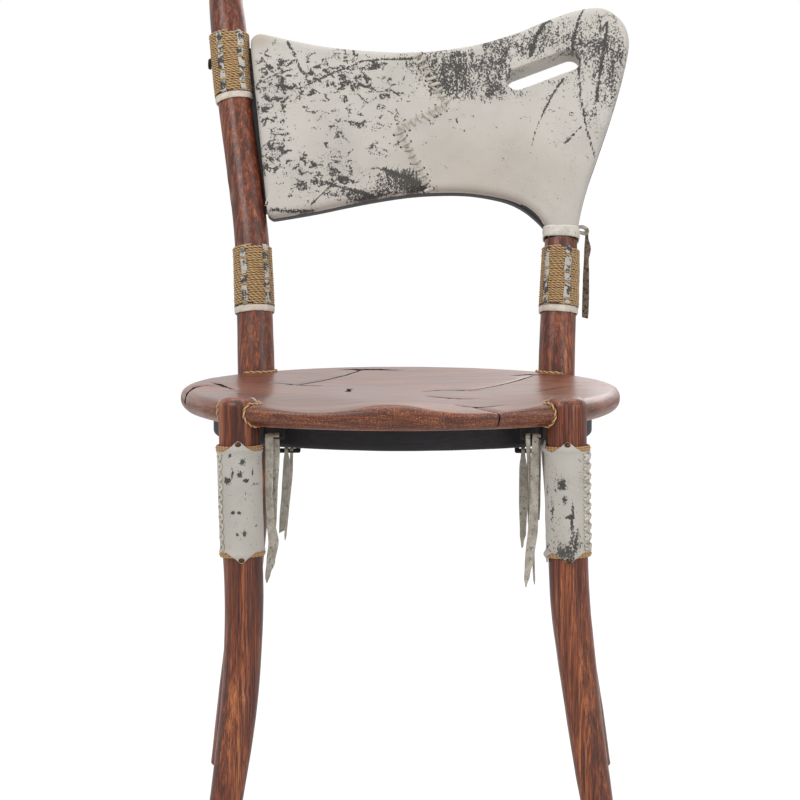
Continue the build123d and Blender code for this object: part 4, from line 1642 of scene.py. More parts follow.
@dataclass
class Binding:
    """Rope wound round a pole, with hide strips woven up it and a leather band below it.

    The strips are pairs of an angle from the front and a width.
    """

    name: str
    pole: Pole
    low: float
    high: float
    strips: Rows
    turns: int = 26
    seed: int = 1
    lie: float = 1.35
    step: float = 2.9
    loose_fibres: int = 70
    strip_over: float = 3.35
    strip_under: float = 0.75
    strip_end: float = 0.9
    strip_crown: float = 0.35
    band_drop: float = 2.9
    band_tall: float = 4.1
    band_thick: float = 1.15

    @property
    def pitch(self) -> float:
        """Height of one turn."""
        return (self.high - self.low) / self.turns

    def build(self) -> None:
        """Makes the rope, the strips and the band."""
        self._rope()
        self._weave()
        self._band()

    def _passes(self, angle: float, turn: int) -> bool:
        """Whether the rope's turn runs over the strip at an angle, at uneven steps."""
        return (turn * 7 + int(angle // 60) * 3 + self.seed) % 11 in (0, 6)

    def _under(self, angle: float, turn: float) -> float:
        """How far a strip at an angle dips under the rope's turn: 0 over it, 1 under it.

        Args:
            angle: Angle of the strip.
            turn: Turn of the rope, with its fraction.

        Returns:
            The share.
        """
        nearest = round(turn - angle / 360)
        if not self._passes(angle, nearest):
            return 0.0
        off = (turn - angle / 360 - nearest) / 0.55
        return math.exp(-(off**2) * 1.4)

    def _rope(self) -> None:
        """Winds the rope, bulging it where it runs over a strip."""
        steps = round(self.turns * 360 / self.step)
        path = []
        for index in range(steps + 1):
            winding = self.turns * index / steps
            angle = (winding * 360) % 360
            angle = angle - 360 if angle > 180 else angle
            turn = math.floor(winding - angle / 360 + 0.5)
            bulge = 0.0
            for place, width in self.strips:
                off = (angle - place + 180) % 360 - 180
                if self._passes(place, turn):
                    bulge += 1.35 * math.exp(-((off / RADIAN * 22 / (width / 2 + 0.8)) ** 4))
            height = self.low + self.pitch * 0.5 + (self.high - self.low - self.pitch) * index / steps
            turned = winding * FULL_TURN
            wander = 0.16 * fractal((math.cos(turned) * 20, math.sin(turned) * 20, height), 9, self.seed)
            row_sway = 0.22 * math.sin(winding * 2.4 + self.seed)
            path.append(tuple(self.pole.skin(height + row_sway * 0.4, angle, self.lie + bulge + wander)))
        rope = Twist(radius=1.5, pitch=5.4, sides=8, groove=0.36, ragged=0.10).lay(f"rope_{self.name}", path)
        rope = Bench.join(f"rope_{self.name}", [rope, *self._fibres()])
        cad_node = f"rope_binding_{self.name}"
        Bench.deliver(rope, f"rope_turns_{self.name}", "rope", [TwistedFibre()], [cad_node])

    def _fibres(self) -> list[Piece]:
        """Short loose fibres that stand off the rope.

        Returns:
            The fibres.
        """
        made = []
        chance = random.Random(self.seed * 7)
        for _ in range(self.loose_fibres):
            angle = chance.uniform(-130, 130)
            height = chance.uniform(self.low + 1, self.high - 1)
            length = chance.uniform(3.0, 7.0)
            lean = chance.uniform(-0.5, 0.5)
            path = []
            for step in range(5):
                share = step / 4
                round_it = angle + share * length * 2.2 * chance.choice((0.9, 1.1))
                proud = 2.4 + 1.1 * math.sin(share * 2.2)
                path.append(tuple(self.pole.skin(height + lean * length * share, round_it, proud)))
            fibre = Bench.tube("fibre", path, [0.16, 0.15, 0.13, 0.10, 0.05], 4)
            # painted highlight: the loose fibres all take the pale crest colour
            Bench.paint(fibre, "depth", [0.9] * len(fibre.data.vertices))
            made.append(fibre)
        return made

    def _weave(self) -> None:
        """Runs the hide strips over and under the turns."""
        pieces = []
        for place, width in self.strips:
            def spot(across: float, along: float, place: float = place, width: float = width) -> Vector:
                """Position on the strip."""
                height = self.low + 0.6 + (self.high - self.low - 1.2) * along
                wound = self.high - self.low - self.pitch
                turn = (height - self.low - self.pitch * 0.5) / wound * self.turns
                angle = place + (across - 0.5) * width / 22.5 * RADIAN
                angle += 1.6 * math.sin(height * 0.21 + place)
                under = self._under(place, turn)
                ends = smooth(along, 0.0, 0.03) * smooth(1 - along, 0.0, 0.03)
                proud = self.strip_over * (1 - under) + self.strip_under * under
                proud = proud * ends + self.strip_end * (1 - ends)
                crown = self.strip_crown * (1 - (2 * across - 1) ** 2)
                return self.pole.skin(height, angle, proud + crown)

            strip = Bench.grid("strip", 8, 150, spot)
            Bench.modify(strip, "SOLIDIFY", thickness=0.8, offset=-1)
            pieces.append(strip)
        weave = Bench.join(f"weave_{self.name}", pieces)
        Bench.heal(weave, 0.0001)
        drifts = [fractal(tuple(point), 8, self.seed) for point in Bench.points(weave)]
        Bench.paint(weave, "marks", [min(1.2, max(0.0, 0.30 + 1.9 * drift)) for drift in drifts])
        Bench.paint(weave, "flecks", [0.7] * len(drifts))
        Bench.deliver(
            weave, f"woven_strips_{self.name}", "hide", [Hide(0, srgb(196, 192, 184))],
            [f"weave_strips_{self.name}"], angle=60,
        )

    def _band(self) -> None:
        """Leather band below the rope, with a dark thread along its top edge."""
        band = Bench.primitive(
            "torus", major_segments=120, minor_segments=16, major_radius=20, minor_radius=1,
        )
        points = Bench.points(band)
        for index, (x, y, z) in enumerate(points):
            angle = math.degrees(math.atan2(x, -y))
            out, up = math.hypot(x, y) - 20, z
            tall = math.copysign(abs(up) ** 0.6, up) * self.band_tall
            thick = math.copysign(abs(out) ** 0.7, out) * self.band_thick
            sway = 0.5 * fractal((x, y, 0), 16, self.seed + 3.0)
            height = self.low - self.band_drop + tall * (1 + 0.10 * fractal((x, y, 0), 9, self.seed)) + sway
            crease = 0.25 * fractal((x * 1.5, y * 1.5, z * 3), 5, self.seed)
            points[index] = self.pole.skin(height, angle, 1.15 + thick + crease)
        Bench.move(band, points)
        thread_path = []
        for step in range(241):
            angle = step * 1.5 - 180
            jag = 0.7 * math.sin(step * 1.7 + self.seed) + 0.5 * fractal((step, 0, 0), 3, self.seed)
            thread_path.append(tuple(self.pole.skin(self.low + 0.5 + jag * 0.6, angle, 2.2 + 0.35 * jag)))
        thread = Bench.tube("thread", thread_path[:-1], 0.34, 6, closed=True)
        finishes = (PlainLeather(), BlackStain())
        parts = [Bench.dress(band, finishes), Bench.dress(thread, finishes, 1)]
        joined = Bench.join(f"band_{self.name}", parts)
        Bench.deliver(joined, f"leather_ring_{self.name}", "band", finishes, [f"leather_band_{self.name}"])


# ---------------------------------------------------------------- back panel


class PanelFrame:
    """Maker's frame of the leaning, bowed back panel: u across, v up the lean, w to the sitter."""

    lean = math.radians(PANEL_LEAN)
    height = 275.0
    bow_depth = 4.0

    @classmethod
    def bow(cls, v: float | np.ndarray) -> float | np.ndarray:
        """How far the bow brings the panel forward at a height."""
        return 4 * cls.bow_depth * v * (cls.height - v) / cls.height**2

    @classmethod
    def _leaned(cls, v: float | np.ndarray, w: float | np.ndarray) -> tuple:
        """Places along y and z of what lies at v and w of the unbowed panel."""
        sine, cosine = math.sin(cls.lean), math.cos(cls.lean)
        return PANEL_FOOT[0] + v * sine - w * cosine, PANEL_FOOT[1] + v * cosine + w * sine

    @classmethod
    def place(cls, u: float, v: float, w: float) -> Vector:
        """Position in the chair's frame."""
        return Vector((u, *cls._leaned(v, w + cls.bow(v))))

    @classmethod
    def raise_up(cls, piece: Piece) -> None:
        """Carries a piece from the flat panel frame to the bowed, leaning one."""
        u, v, w = Bench.points(piece).T
        Bench.move(piece, np.stack([u, *cls._leaned(v, w + cls.bow(v))], axis=1))


PANEL_OUTLINE = (
    (196.2, 0.0), (197.6, 18.0), (202.4, 42.0), (209.3, 66.5), (217.6, 90.4), (225.7, 114.2), (233.6, 138.0),
    (241.0, 162.0), (249.6, 193.5), (256.5, 226.0), (255.4, 244.0), (249.3, 258.0), (235.6, 270.8),
    (219.0, 275.3), (190.0, 270.0), (158.0, 257.6), (126.0, 243.8), (85.0, 230.8), (43.0, 223.3),
    (10.0, 220.6), (-22.0, 220.8), (-58.0, 223.3), (-96.0, 227.5), (-132.0, 234.6), (-166.0, 242.6),
    (-173.6, 242.2), (-178.0, 239.4), (-180.8, 234.0), (-180.8, 226.0), (-179.2, 212.0), (-174.0, 164.0),
    (-167.0, 99.0), (-160.0, 34.0),
    (-158.2, 27.4), (-153.6, 23.8), (-147.0, 24.2), (-104.0, 31.7), (-68.0, 39.4), (-31.0, 46.6),
    (6.0, 52.0), (43.0, 54.1), (72.0, 53.3), (98.5, 49.2), (118.5, 43.6), (135.0, 34.8), (147.6, 24.4),
    (155.0, 16.7), (160.2, 9.6), (161.4, 0.0),
)
SEAM = ((5.9, 232.0), (5.9, 225.0), (46.4, 154.7), (-9.9, 124.8), (4.5, 98.0), (27.5, 50.0), (28.0, 20.0))
SLOT_ENDS = ((127.1, 186.0), (188.4, 210.0))
SLOT_RADIUS = 12.4


@dataclass
class BackPanel:
    """Black panel core, the two hides over its front and the lacing of their seam."""

    half: float = 17.0
    rim: float = 7.5
    voxel: float = 1.7
    hide: float = 1.5
    hide_edge: float = 4.6
    tongue: float = 16.2
    pucker_pitch: float = 9.4
    pucker_height: float = 0.5
    groove_depth: float = 1.0
    groove_width: float = 1.6
    ridge_height: float = 0.55
    slot_drop: float = 5.4
    slot_lift: float = 0.8
    neck_pull: float = 1.9
    stitch_pitch: float = 8.3
    collar_middle: tuple[float, float, float] = (177.3, 7.0, 0.0)
    collar_half: tuple[float, float] = (20.0, 18.1)

    def build(self) -> None:
        """Makes the core, the hides, the lacing, the collar and the knot."""
        slab = self._slab()
        core = Bench.copy(slab, Matrix.Identity(4))
        self._core(core)
        self._hides(slab)
        self._lacing()
        self._collar()

    def _slab(self) -> Piece:
        """Flat slab with round rims and the grab slot, in the panel's frame.

        Returns:
            The slab.
        """
        curve = bpy.data.curves.new("slab", "CURVE")
        curve.dimensions = "2D"
        curve.fill_mode = "BOTH"
        curve.extrude = self.half - self.rim
        curve.bevel_depth = self.rim
        curve.bevel_resolution = 5
        curve.offset = -self.rim
        spline = curve.splines.new("POLY")
        outline = self._smooth_outline()
        spline.points.add(len(outline) - 1)
        for index, (u, v) in enumerate(outline):
            spline.points[index].co = (u, v, 0, 1)
        spline.use_cyclic_u = True
        slab = bpy.data.objects.new("slab", curve)
        bpy.context.scene.collection.objects.link(slab)
        Bench.take(slab)
        bpy.ops.object.convert(target="MESH")
        slab = bpy.context.object
        Bench.heal(slab, 0.01)
        (u1, v1), (u2, v2) = SLOT_ENDS
        turn = math.atan2(v2 - v1, u2 - u1)
        bar = Bench.primitive(
            "cube", size=1, location=((u1 + u2) / 2, (v1 + v2) / 2, 0), rotation=(0, 0, turn),
            scale=(math.dist(*SLOT_ENDS), 2 * SLOT_RADIUS, 60),
        )
        Bench.carve(slab, bar)
        for u, v in SLOT_ENDS:
            end = Bench.primitive("cylinder", vertices=64, radius=SLOT_RADIUS, depth=60, location=(u, v, 0))
            Bench.carve(slab, end)
        Bench.modify(slab, "REMESH", mode="VOXEL", voxel_size=self.voxel, use_smooth_shade=True)
        Bench.modify(slab, "SMOOTH", factor=0.5, iterations=6)
        flat = Bench.points(slab)
        (u1, v1), (u2, v2) = SLOT_ENDS
        line = v1 + (flat[:, 0] - u1) * (v2 - v1) / (u2 - u1)
        away = segment_distance(flat[:, 0], flat[:, 1], *SLOT_ENDS)
        share = np.clip((SLOT_RADIUS + 9 - away) / 8, 0, 1) * np.clip((13 - flat[:, 2]) / 24, 0, 1)
        flat[:, 1] -= share * np.where(flat[:, 1] > line, self.slot_drop, -self.slot_lift)
        Bench.move(slab, flat)
        return slab

    @staticmethod
    def _smooth_outline() -> list[tuple[float, float]]:
        """Outline with the rows filled in on a smooth curve, apart from the neck's square foot.

        Returns:
            Places across and up the panel.
        """
        rows = PANEL_OUTLINE
        filled = []
        for index in range(len(rows) - 1):
            before = rows[max(0, index - 1)]
            after = rows[min(len(rows) - 1, index + 2)]
            a, b = rows[index], rows[index + 1]
            for step in range(4):
                t = step / 4
                filled.append(tuple(
                    0.5 * (
                        2 * a[k] + (b[k] - before[k]) * t
                        + (2 * before[k] - 5 * a[k] + 4 * b[k] - after[k]) * t * t
                        + (3 * a[k] - before[k] - 3 * b[k] + after[k]) * t**3
                    )
                    for k in (0, 1)
                ))
        filled.append(rows[-1])
        return filled

    def _core(self, core: Piece) -> None:
        """Wooden core: full size behind, and lower by the hide's thickness in front.

        Args:
            core: A copy of the slab.
        """
        points, normals = Bench.points(core), Bench.normals(core)
        front = np.clip((points[:, 2] - 4.0) / 0.8, 0, 1)
        front = np.maximum(front, self._at_slot(points))
        points -= normals * (front * (self.hide + 0.15))[:, None]
        Bench.move(core, points)
        Bench.modify(core, "DECIMATE", ratio=0.45)
        PanelFrame.raise_up(core)

        def spot(across: float, along: float) -> Vector:
            """Position on the flat tongue's front face.

            Args:
                across: Share across the tongue.
                along: Share up it.

            Returns:
                The position.
            """
            v = 34 + 195 * along
            inner = -160 - 21 * along
            outer = inner - 15 - 9 * math.sin(along * 3.14)
            return Vector((inner + 6 + (outer - inner - 6) * across, v, -0.3))

        tongue = Bench.grid("tongue", 10, 40, spot)
        Bench.modify(tongue, "SOLIDIFY", thickness=self.tongue, offset=-1)
        Bench.heal(tongue, 0.0001)
        if np.mean(Bench.points(tongue)[:, 2]) > 0:
            flat = Bench.points(tongue)
            flat[:, 2] -= self.tongue
            Bench.move(tongue, flat)
        PanelFrame.raise_up(tongue)
        self._fit_to_post(tongue)
        joined = Bench.join("core", [core, tongue])
        Bench.deliver(joined, "panel_core", "panel_wood", [BlackStain()], ["back_panel"], angle=50)

    @staticmethod
    def _fit_to_post(piece: Piece) -> None:
        """Draws vertices that reach into the left post back to its skin.

        Args:
            piece: The piece.
        """
        points = Bench.points(piece)
        for index, point in enumerate(points):
            centre, radius = REAR_LEFT.at(point[2])
            away = math.hypot(point[0] - centre.x, point[1] - centre.y)
            if away < radius - 1.5 and point[0] < centre.x + radius:
                off = min(radius - 1.5, abs(point[1] - centre.y))
                points[index][0] = centre.x + math.sqrt(max(0.0, (radius - 1.5) ** 2 - off**2))
        Bench.move(piece, points)

    def _hides(self, slab: Piece) -> None:
        """Front half of the slab as two hides, puckered along their seam.

        Args:
            slab: The slab, which becomes the right hide.
        """
        Bench.edit(slab)
        bpy.ops.mesh.bisect(plane_co=(0, 0, self.hide_edge), plane_no=(0, 0, -1))
        Bench.close()
        points = Bench.points(slab)
        inner = self._at_slot(points)
        low = (points[:, 2] < 4.5) & ((inner < 0.99) | (points[:, 2] < -14.5))
        Bench.edit(slab, lambda face: any(low[vert.index] for vert in face.verts))
        bpy.ops.mesh.delete(type="FACE")
        Bench.close()
        Bench.edit(slab, lambda face: abs(face.calc_center_median().y) < 0.9 and face.normal.y < -0.8
                   and face.calc_center_median().x > 150)
        bpy.ops.mesh.delete(type="FACE")
        Bench.close()
        points = Bench.points(slab)
        rim = np.full(len(points), 1e9)
        for start, end in zip(PANEL_OUTLINE[-9:], PANEL_OUTLINE[-8:]):
            rim = np.minimum(rim, segment_distance(points[:, 0], points[:, 1], start, end))
        pull = self.neck_pull * np.exp(-(((points[:, 0] - 142) / 34) ** 2)) * np.clip((15 - rim) / 10, 0, 1)
        points[:, :2] += pull[:, None] * np.array([0.64, 0.77])
        u, v, w = points[:, 0], points[:, 1], points[:, 2]
        near = np.full(len(points), 1e9)
        foot = np.zeros((len(points), 2))
        run_at = np.zeros(len(points))
        run = 0.0
        for start, end in zip(SEAM, SEAM[1:]):
            line = np.array([end[0] - start[0], end[1] - start[1]])
            share = np.clip(((u - start[0]) * line[0] + (v - start[1]) * line[1]) / (line @ line), 0, 1)
            spot = np.stack([start[0] + share * line[0], start[1] + share * line[1]], axis=1)
            away = np.hypot(u - spot[:, 0], v - spot[:, 1])
            closer = away < near
            near = np.where(closer, away, near)
            foot[closer] = spot[closer]
            run_at = np.where(closer, run + share * np.linalg.norm(line), run_at)
            run += float(np.linalg.norm(line))
        snap = near < self.voxel * 0.55
        points[snap, 0], points[snap, 1] = foot[snap, 0], foot[snap, 1]
        face_on = np.clip((w - 6) / 8, 0, 1)
        wave = np.cos(run_at / self.pucker_pitch * 2 * math.pi)
        pucker = np.exp(-((near / 7.0) ** 2)) * (self.pucker_height * wave)
        groove = -self.groove_depth * np.exp(-((near / self.groove_width) ** 2))
        ridge = self.ridge_height * np.exp(-(((near - 4.0) / 3.0) ** 2))
        points[:, 2] += face_on * (groove + ridge + pucker * 0.5)
        broad = np.array([0.35 * fractal((a, b, 0), 42, 9.0) for a, b in zip(u, v)])
        fine = np.array([0.14 * fractal((a, b, 0), 14, 4.0) for a, b in zip(u, v)])
        points[:, 2] += face_on * (broad + fine)
        Bench.move(slab, points)
        left = Bench.copy(slab, Matrix.Identity(4))
        for piece, side, name in ((left, Side.LEFT, "left"), (slab, Side.RIGHT, "right")):
            self._half_hide(piece, side, name)

    def _half_hide(self, piece: Piece, side: Side, name: str) -> None:
        """Cuts one hide away from the other, thickens it and gives it its markings.

        Args:
            piece: Both hides as one sheet.
            side: The side that stays.
            name: Name of that side.
        """
        def other(face: bmesh.types.BMFace) -> bool:
            """Whether a face belongs to the other hide.

            Args:
                face: The face.

            Returns:
                True for the other hide's.
            """
            middle = face.calc_center_median()
            u_seam = self._seam_at(middle.y)
            return (middle.x > u_seam) == (side is Side.LEFT)

        Bench.edit(piece, other)
        bpy.ops.mesh.delete(type="FACE")
        Bench.close()
        Bench.modify(piece, "SOLIDIFY", thickness=self.hide, offset=-1, use_even_offset=False)
        flat = Bench.points(piece)
        markings = HideMap()
        Bench.paint(piece, "marks", markings.density(flat))
        Bench.paint(piece, "flecks", markings.flecks(flat))
        # painted shade over the lower middle, where the bowed hide turns from the light, plus a darker
        # top-left corner
        corner = np.exp(-(((flat[:, 0] + 172) / 16) ** 2) - (((flat[:, 1] - 236) / 12) ** 2))
        low = 0.55 * np.exp(-(((flat[:, 0] - 90) / 90) ** 2) - (((flat[:, 1] - 70) / 50) ** 2))
        Bench.paint(piece, "shade_and_dark_corner", np.clip(corner + low, 0, 1))
        PanelFrame.raise_up(piece)
        hide = Bench.deliver(piece, f"hide_{name}", "hide", [Hide(18)], [f"back_hide_{name}"], angle=60)

    @staticmethod
    def _at_slot(points: np.ndarray) -> np.ndarray:
        """Share from 0 to 1 by which each place in the flat frame lies on the wall of the slot."""
        away = segment_distance(points[:, 0], points[:, 1], *SLOT_ENDS)
        return np.clip((SLOT_RADIUS + 4.0 - away) / 1.0, 0, 1)

    @staticmethod
    def _seam_at(v: float) -> float:
        """Place of the seam across the panel at a height.

        Args:
            v: Height up the panel.

        Returns:
            The place.
        """
        for start, end in zip(SEAM, SEAM[1:]):
            if end[1] <= v <= start[1]:
                share = (v - start[1]) / (end[1] - start[1])
                return start[0] + share * (end[0] - start[0])
        return SEAM[0][0] if v > SEAM[0][1] else SEAM[-1][0]

    def _lacing(self) -> None:
        """Cream loops across the seam, each between two dark discs of painted shade that stand for the
        lacing holes.
        """
        chance = random.Random(11)
        pieces = []
        for start, end in zip(SEAM[1:], SEAM[2:-1]):
            run = math.dist(start, end)
            count = max(1, round(run / self.stitch_pitch))
            heading = math.atan2(end[1] - start[1], end[0] - start[0])
            for index in range(count):
                share = (index + 0.5) / count
                u = start[0] + (end[0] - start[0]) * share
                v = start[1] + (end[1] - start[1]) * share
                if v > 217:
                    continue
                turn = heading + math.pi / 2 + chance.uniform(-0.22, 0.22)
                length, width = chance.uniform(9.5, 12.5), chance.uniform(3.3, 4.1)
                pieces.append(self._stitch(u, v, turn, length, width))
        lacing = Bench.join("lacing", pieces)
        PanelFrame.raise_up(lacing)
        # the second finish is the painted shade of the discs at the lacing holes
        finishes = [PlainLeather(srgb(156, 149, 136), srgb(207, 201, 189)), CrackShade()]
        Bench.deliver(lacing, "seam_lacing", "hide_lacing", finishes, ["back_lacing"])

    def _stitch(self, u: float, v: float, turn: float, length: float, width: float) -> Piece:
        """One lacing loop with two dark discs of painted shade for its holes, in the panel's flat frame.

        Args:
            u: Place across.
            v: Place up the panel.
            turn: Its turn, in radians.
            length: Distance of its holes.
            width: Width in the middle.

        Returns:
            The loop and its two discs of painted shade.
        """
        path = []
        for step in range(13):
            share = step / 12 * 2 - 1
            arch = 1.7 * (1 - share**4) - 0.5 + (0.1 if abs(share) < 1 else -0.3)
            path.append((share * length / 2, 0, arch))
        radii = [width / 2 * (0.72 + 0.28 * (1 - (step / 6 - 1) ** 2)) for step in range(13)]
        loop = Bench.tube("loop", path, radii, 10)
        flat = Bench.points(loop)
        line = np.array(path).repeat(10, axis=0)[: len(flat)]
        flat[:, 2] = line[:, 2] + (flat[:, 2] - line[:, 2]) * 0.55
        Bench.move(loop, flat)
        finishes = (PlainLeather(), CrackShade())
        parts = [Bench.dress(loop, finishes)]
        # painted shade: a flat dark disc at each end stands for the shadow inside the lacing holes
        for sign in (-1, 1):
            hole_shade_disc = Bench.primitive(
                "uv_sphere", segments=12, ring_count=8, radius=1, location=(sign * length / 2, 0, -0.1),
                scale=(2.1, 2.0, 0.4),
            )
            parts.append(Bench.dress(hole_shade_disc, finishes, 1))
        stitch = Bench.join("stitch", parts)
        stitch.data.transform(Matrix.Translation((u, v, self.half + 0.2)) @ Matrix.Rotation(turn, 4, "Z"))
        return stitch

    def _collar(self) -> None:
        """Soft hide collar round the neck and the knotted thong that the tie hangs from."""
        ring = Bench.primitive(
            "torus", major_segments=140, minor_segments=18, major_radius=20, minor_radius=1,
        )
        points = Bench.points(ring)
        for index, (x, y, z) in enumerate(points):
            turn = math.atan2(y, x)
            out = math.hypot(x, y) - 20
            power = 0.42
            across = math.copysign(abs(math.cos(turn)) ** power, math.cos(turn))
            deep = math.copysign(abs(math.sin(turn)) ** power, math.sin(turn))
            thick = math.copysign(abs(out) ** 0.7, out) * 1.2
            tall = math.copysign(abs(z) ** 0.55, z) * 6.2
            sag = -1.6 * smooth(across, 0.2, 1.0) * (1 if z < 0 else 0.3)
            crease = -0.8 * math.exp(-(((tall - 1.5 - 1.2 * across) / 1.1) ** 2)) * (1 if out > 0 else 0)
            soft = 0.3 * fractal((across * 18, deep * 15, tall), 8, 6.0)
            relief = thick + soft + crease
            wide, thick_half = self.collar_half
            u, v, w = self.collar_middle
            points[index] = PanelFrame.place(
                u + across * (wide + relief), v + tall + sag, w - deep * (thick_half + relief),
            )
        Bench.move(ring, points)
        Bench.heal(ring, 0.0001)
        leather = PlainLeather(srgb(182, 177, 166), srgb(226, 221, 211), 0.2)
        Bench.deliver(ring, "soft_collar", "band", [leather], ["neck_collar"])
        places = (
            (195.0, 625.4), (197.5, 626.6), (200.5, 627.2), (203.6, 626.6), (206.2, 624.6), (207.6, 621.8),
            (206.4, 619.9), (203.6, 619.6), (200, 620.4), (195.6, 621.6),
        )
        rows = even_path([Vector((x, 212.0, z)) for x, z in places], 0.8)
        radii = [1.7 + 0.7 * math.sin(math.pi * step / len(rows)) for step in range(len(rows))]
        loop = Bench.tube("loop", rows, radii, 12)
        Bench.deliver(loop, "collar_thong_loop", "thong_cord", [SUEDE], ["collar_knot"])


SUEDE = PlainLeather(srgb(136, 128, 115), srgb(202, 195, 183), 0.35)
# painted shade: near-black suede for the kept thong cords under the seat's nose, dark so that they stay lost
# in the shadow there
SUEDE_PAINTED_SHADE = PlainLeather(srgb(26, 24, 24), srgb(48, 44, 40), 0.2)


@dataclass(frozen=True)
class HideMap:
    """Where the hide of the panel carries its dark markings, by loose patches and strokes."""

    patches: Rows = (
        (70, 194, 60, 28, 0.80), (24, 206, 26, 14, 0.72), (50, 180, 28, 20, 0.70), (110, 176, 30, 16, 0.62),
        (120, 226, 44, 20, 0.66), (232, 206, 22, 44, 0.95), (205, 226, 42, 36, 0.60),
        (170, 238, 40, 20, 0.56), (190, 182, 40, 14, 0.30), (-6, 64, 34, 17, 0.98), (8, 56, 20, 12, 0.95),
        (-48, 46, 34, 8, 0.80), (-22, 52, 24, 9, 0.85), (214, 150, 16, 36, 0.20),
        (-150, 120, 8, 70, 0.20), (60, 214, 60, 8, 0.70), (222, 250, 24, 16, 0.70),
    )
    scattered: Rows = (
        (-104, 186, 66, 44, 1.0), (-60, 190, 50, 34, 1.0), (-156, 170, 34, 60, 1.0), (-96, 66, 64, 34, 1.0),
        (-60, 128, 70, 34, 0.75), (-20, 176, 36, 34, 0.75), (44, 138, 30, 18, 0.7), (170, 148, 60, 26, 0.35),
        (-150, 100, 40, 40, 1.0), (232, 250, 24, 20, 0.6), (196, 120, 30, 40, 0.3), (-24, 104, 34, 20, 0.7),
    )
    strokes: tuple[tuple[float, Rows], ...] = (
        (1.7, ((165, 258), (158, 253), (149, 237), (146, 226), (143, 215))),
        (1.2, ((205, 273), (198, 258), (194, 242), (191, 223))),
        (1.3, ((232, 256), (227, 220), (221, 183), (218, 160))),
        (0.75, ((198, 201), (200, 165), (207, 125), (216, 94))),
        (1.3, ((180, 186), (168, 168), (157, 146))),
        (0.9, ((157, 146), (152, 134), (147, 122), (143, 104))),
        (0.9, ((200, 128), (189, 117), (182, 109))),
        (1.9, ((-155, 31), (-132, 30), (-103, 30))),
        (0.75, ((-71, 75), (-91, 55), (-109, 37))),
        (1.4, ((-138, 231), (-129, 215), (-123, 197), (-116, 192))),
        (1.2, ((14, 211), (-28, 210), (-51, 208), (-69, 200), (-95, 189), (-122, 175), (-133, 175))),
        (1.5, ((-62, 222), (-59, 205), (-48, 189), (-45, 180))),
        (1.4, ((-69, 189), (-60, 171), (-45, 157))),
        (2.0, ((-107, 64), (-91, 63), (-74, 57), (-53, 52), (-33, 43))),
        (2.4, ((-27, 79), (-4, 70), (20, 57))),
        (1.0, ((-173, 180), (-151, 192), (-131, 198))),
        (1.1, ((-4, 169), (-33, 171), (-54, 180))),
    )

    @staticmethod
    def _cover(rows: Sequence[tuple[float, ...]], u: np.ndarray, v: np.ndarray) -> np.ndarray:
        """Greatest of many soft patches at each place.

        Args:
            rows: Place, reach both ways and amount of each patch.
            u: Places across.
            v: Places up the panel.

        Returns:
            One amount for each place.
        """
        total = np.zeros(len(u))
        for cu, cv, ru, rv, amount in rows:
            away = ((u - cu) / ru) ** 2 + ((v - cv) / rv) ** 2
            total = np.maximum(total, amount * np.exp(-(away**1.4)))
        return total

    def flecks(self, points: np.ndarray) -> np.ndarray:
        """Amount of scattered flecks at many places of the panel's flat frame."""
        return self._cover(self.scattered, points[:, 0], points[:, 1])

    def density(self, points: np.ndarray) -> np.ndarray:
        """Density of the markings at many places.

        Args:
            points: Places in the panel's flat frame.

        Returns:
            One value from 0 to 1 for each.
        """
        u, v = points[:, 0], points[:, 1]
        total = self._cover(self.patches, u, v)
        lines = np.zeros(len(points))
        for width, row in self.strokes:
            for start, end in zip(row, row[1:]):
                near = segment_distance(u, v, start, end)
                lines = np.maximum(lines, np.exp(-((near / width) ** 2)))
        total = total + 1.05 * lines
        return np.clip(total, 0, 1.5) * np.clip((points[:, 2] + 4) / 8, 0.25, 1)


# ---------------------------------------------------------------- leg sleeves


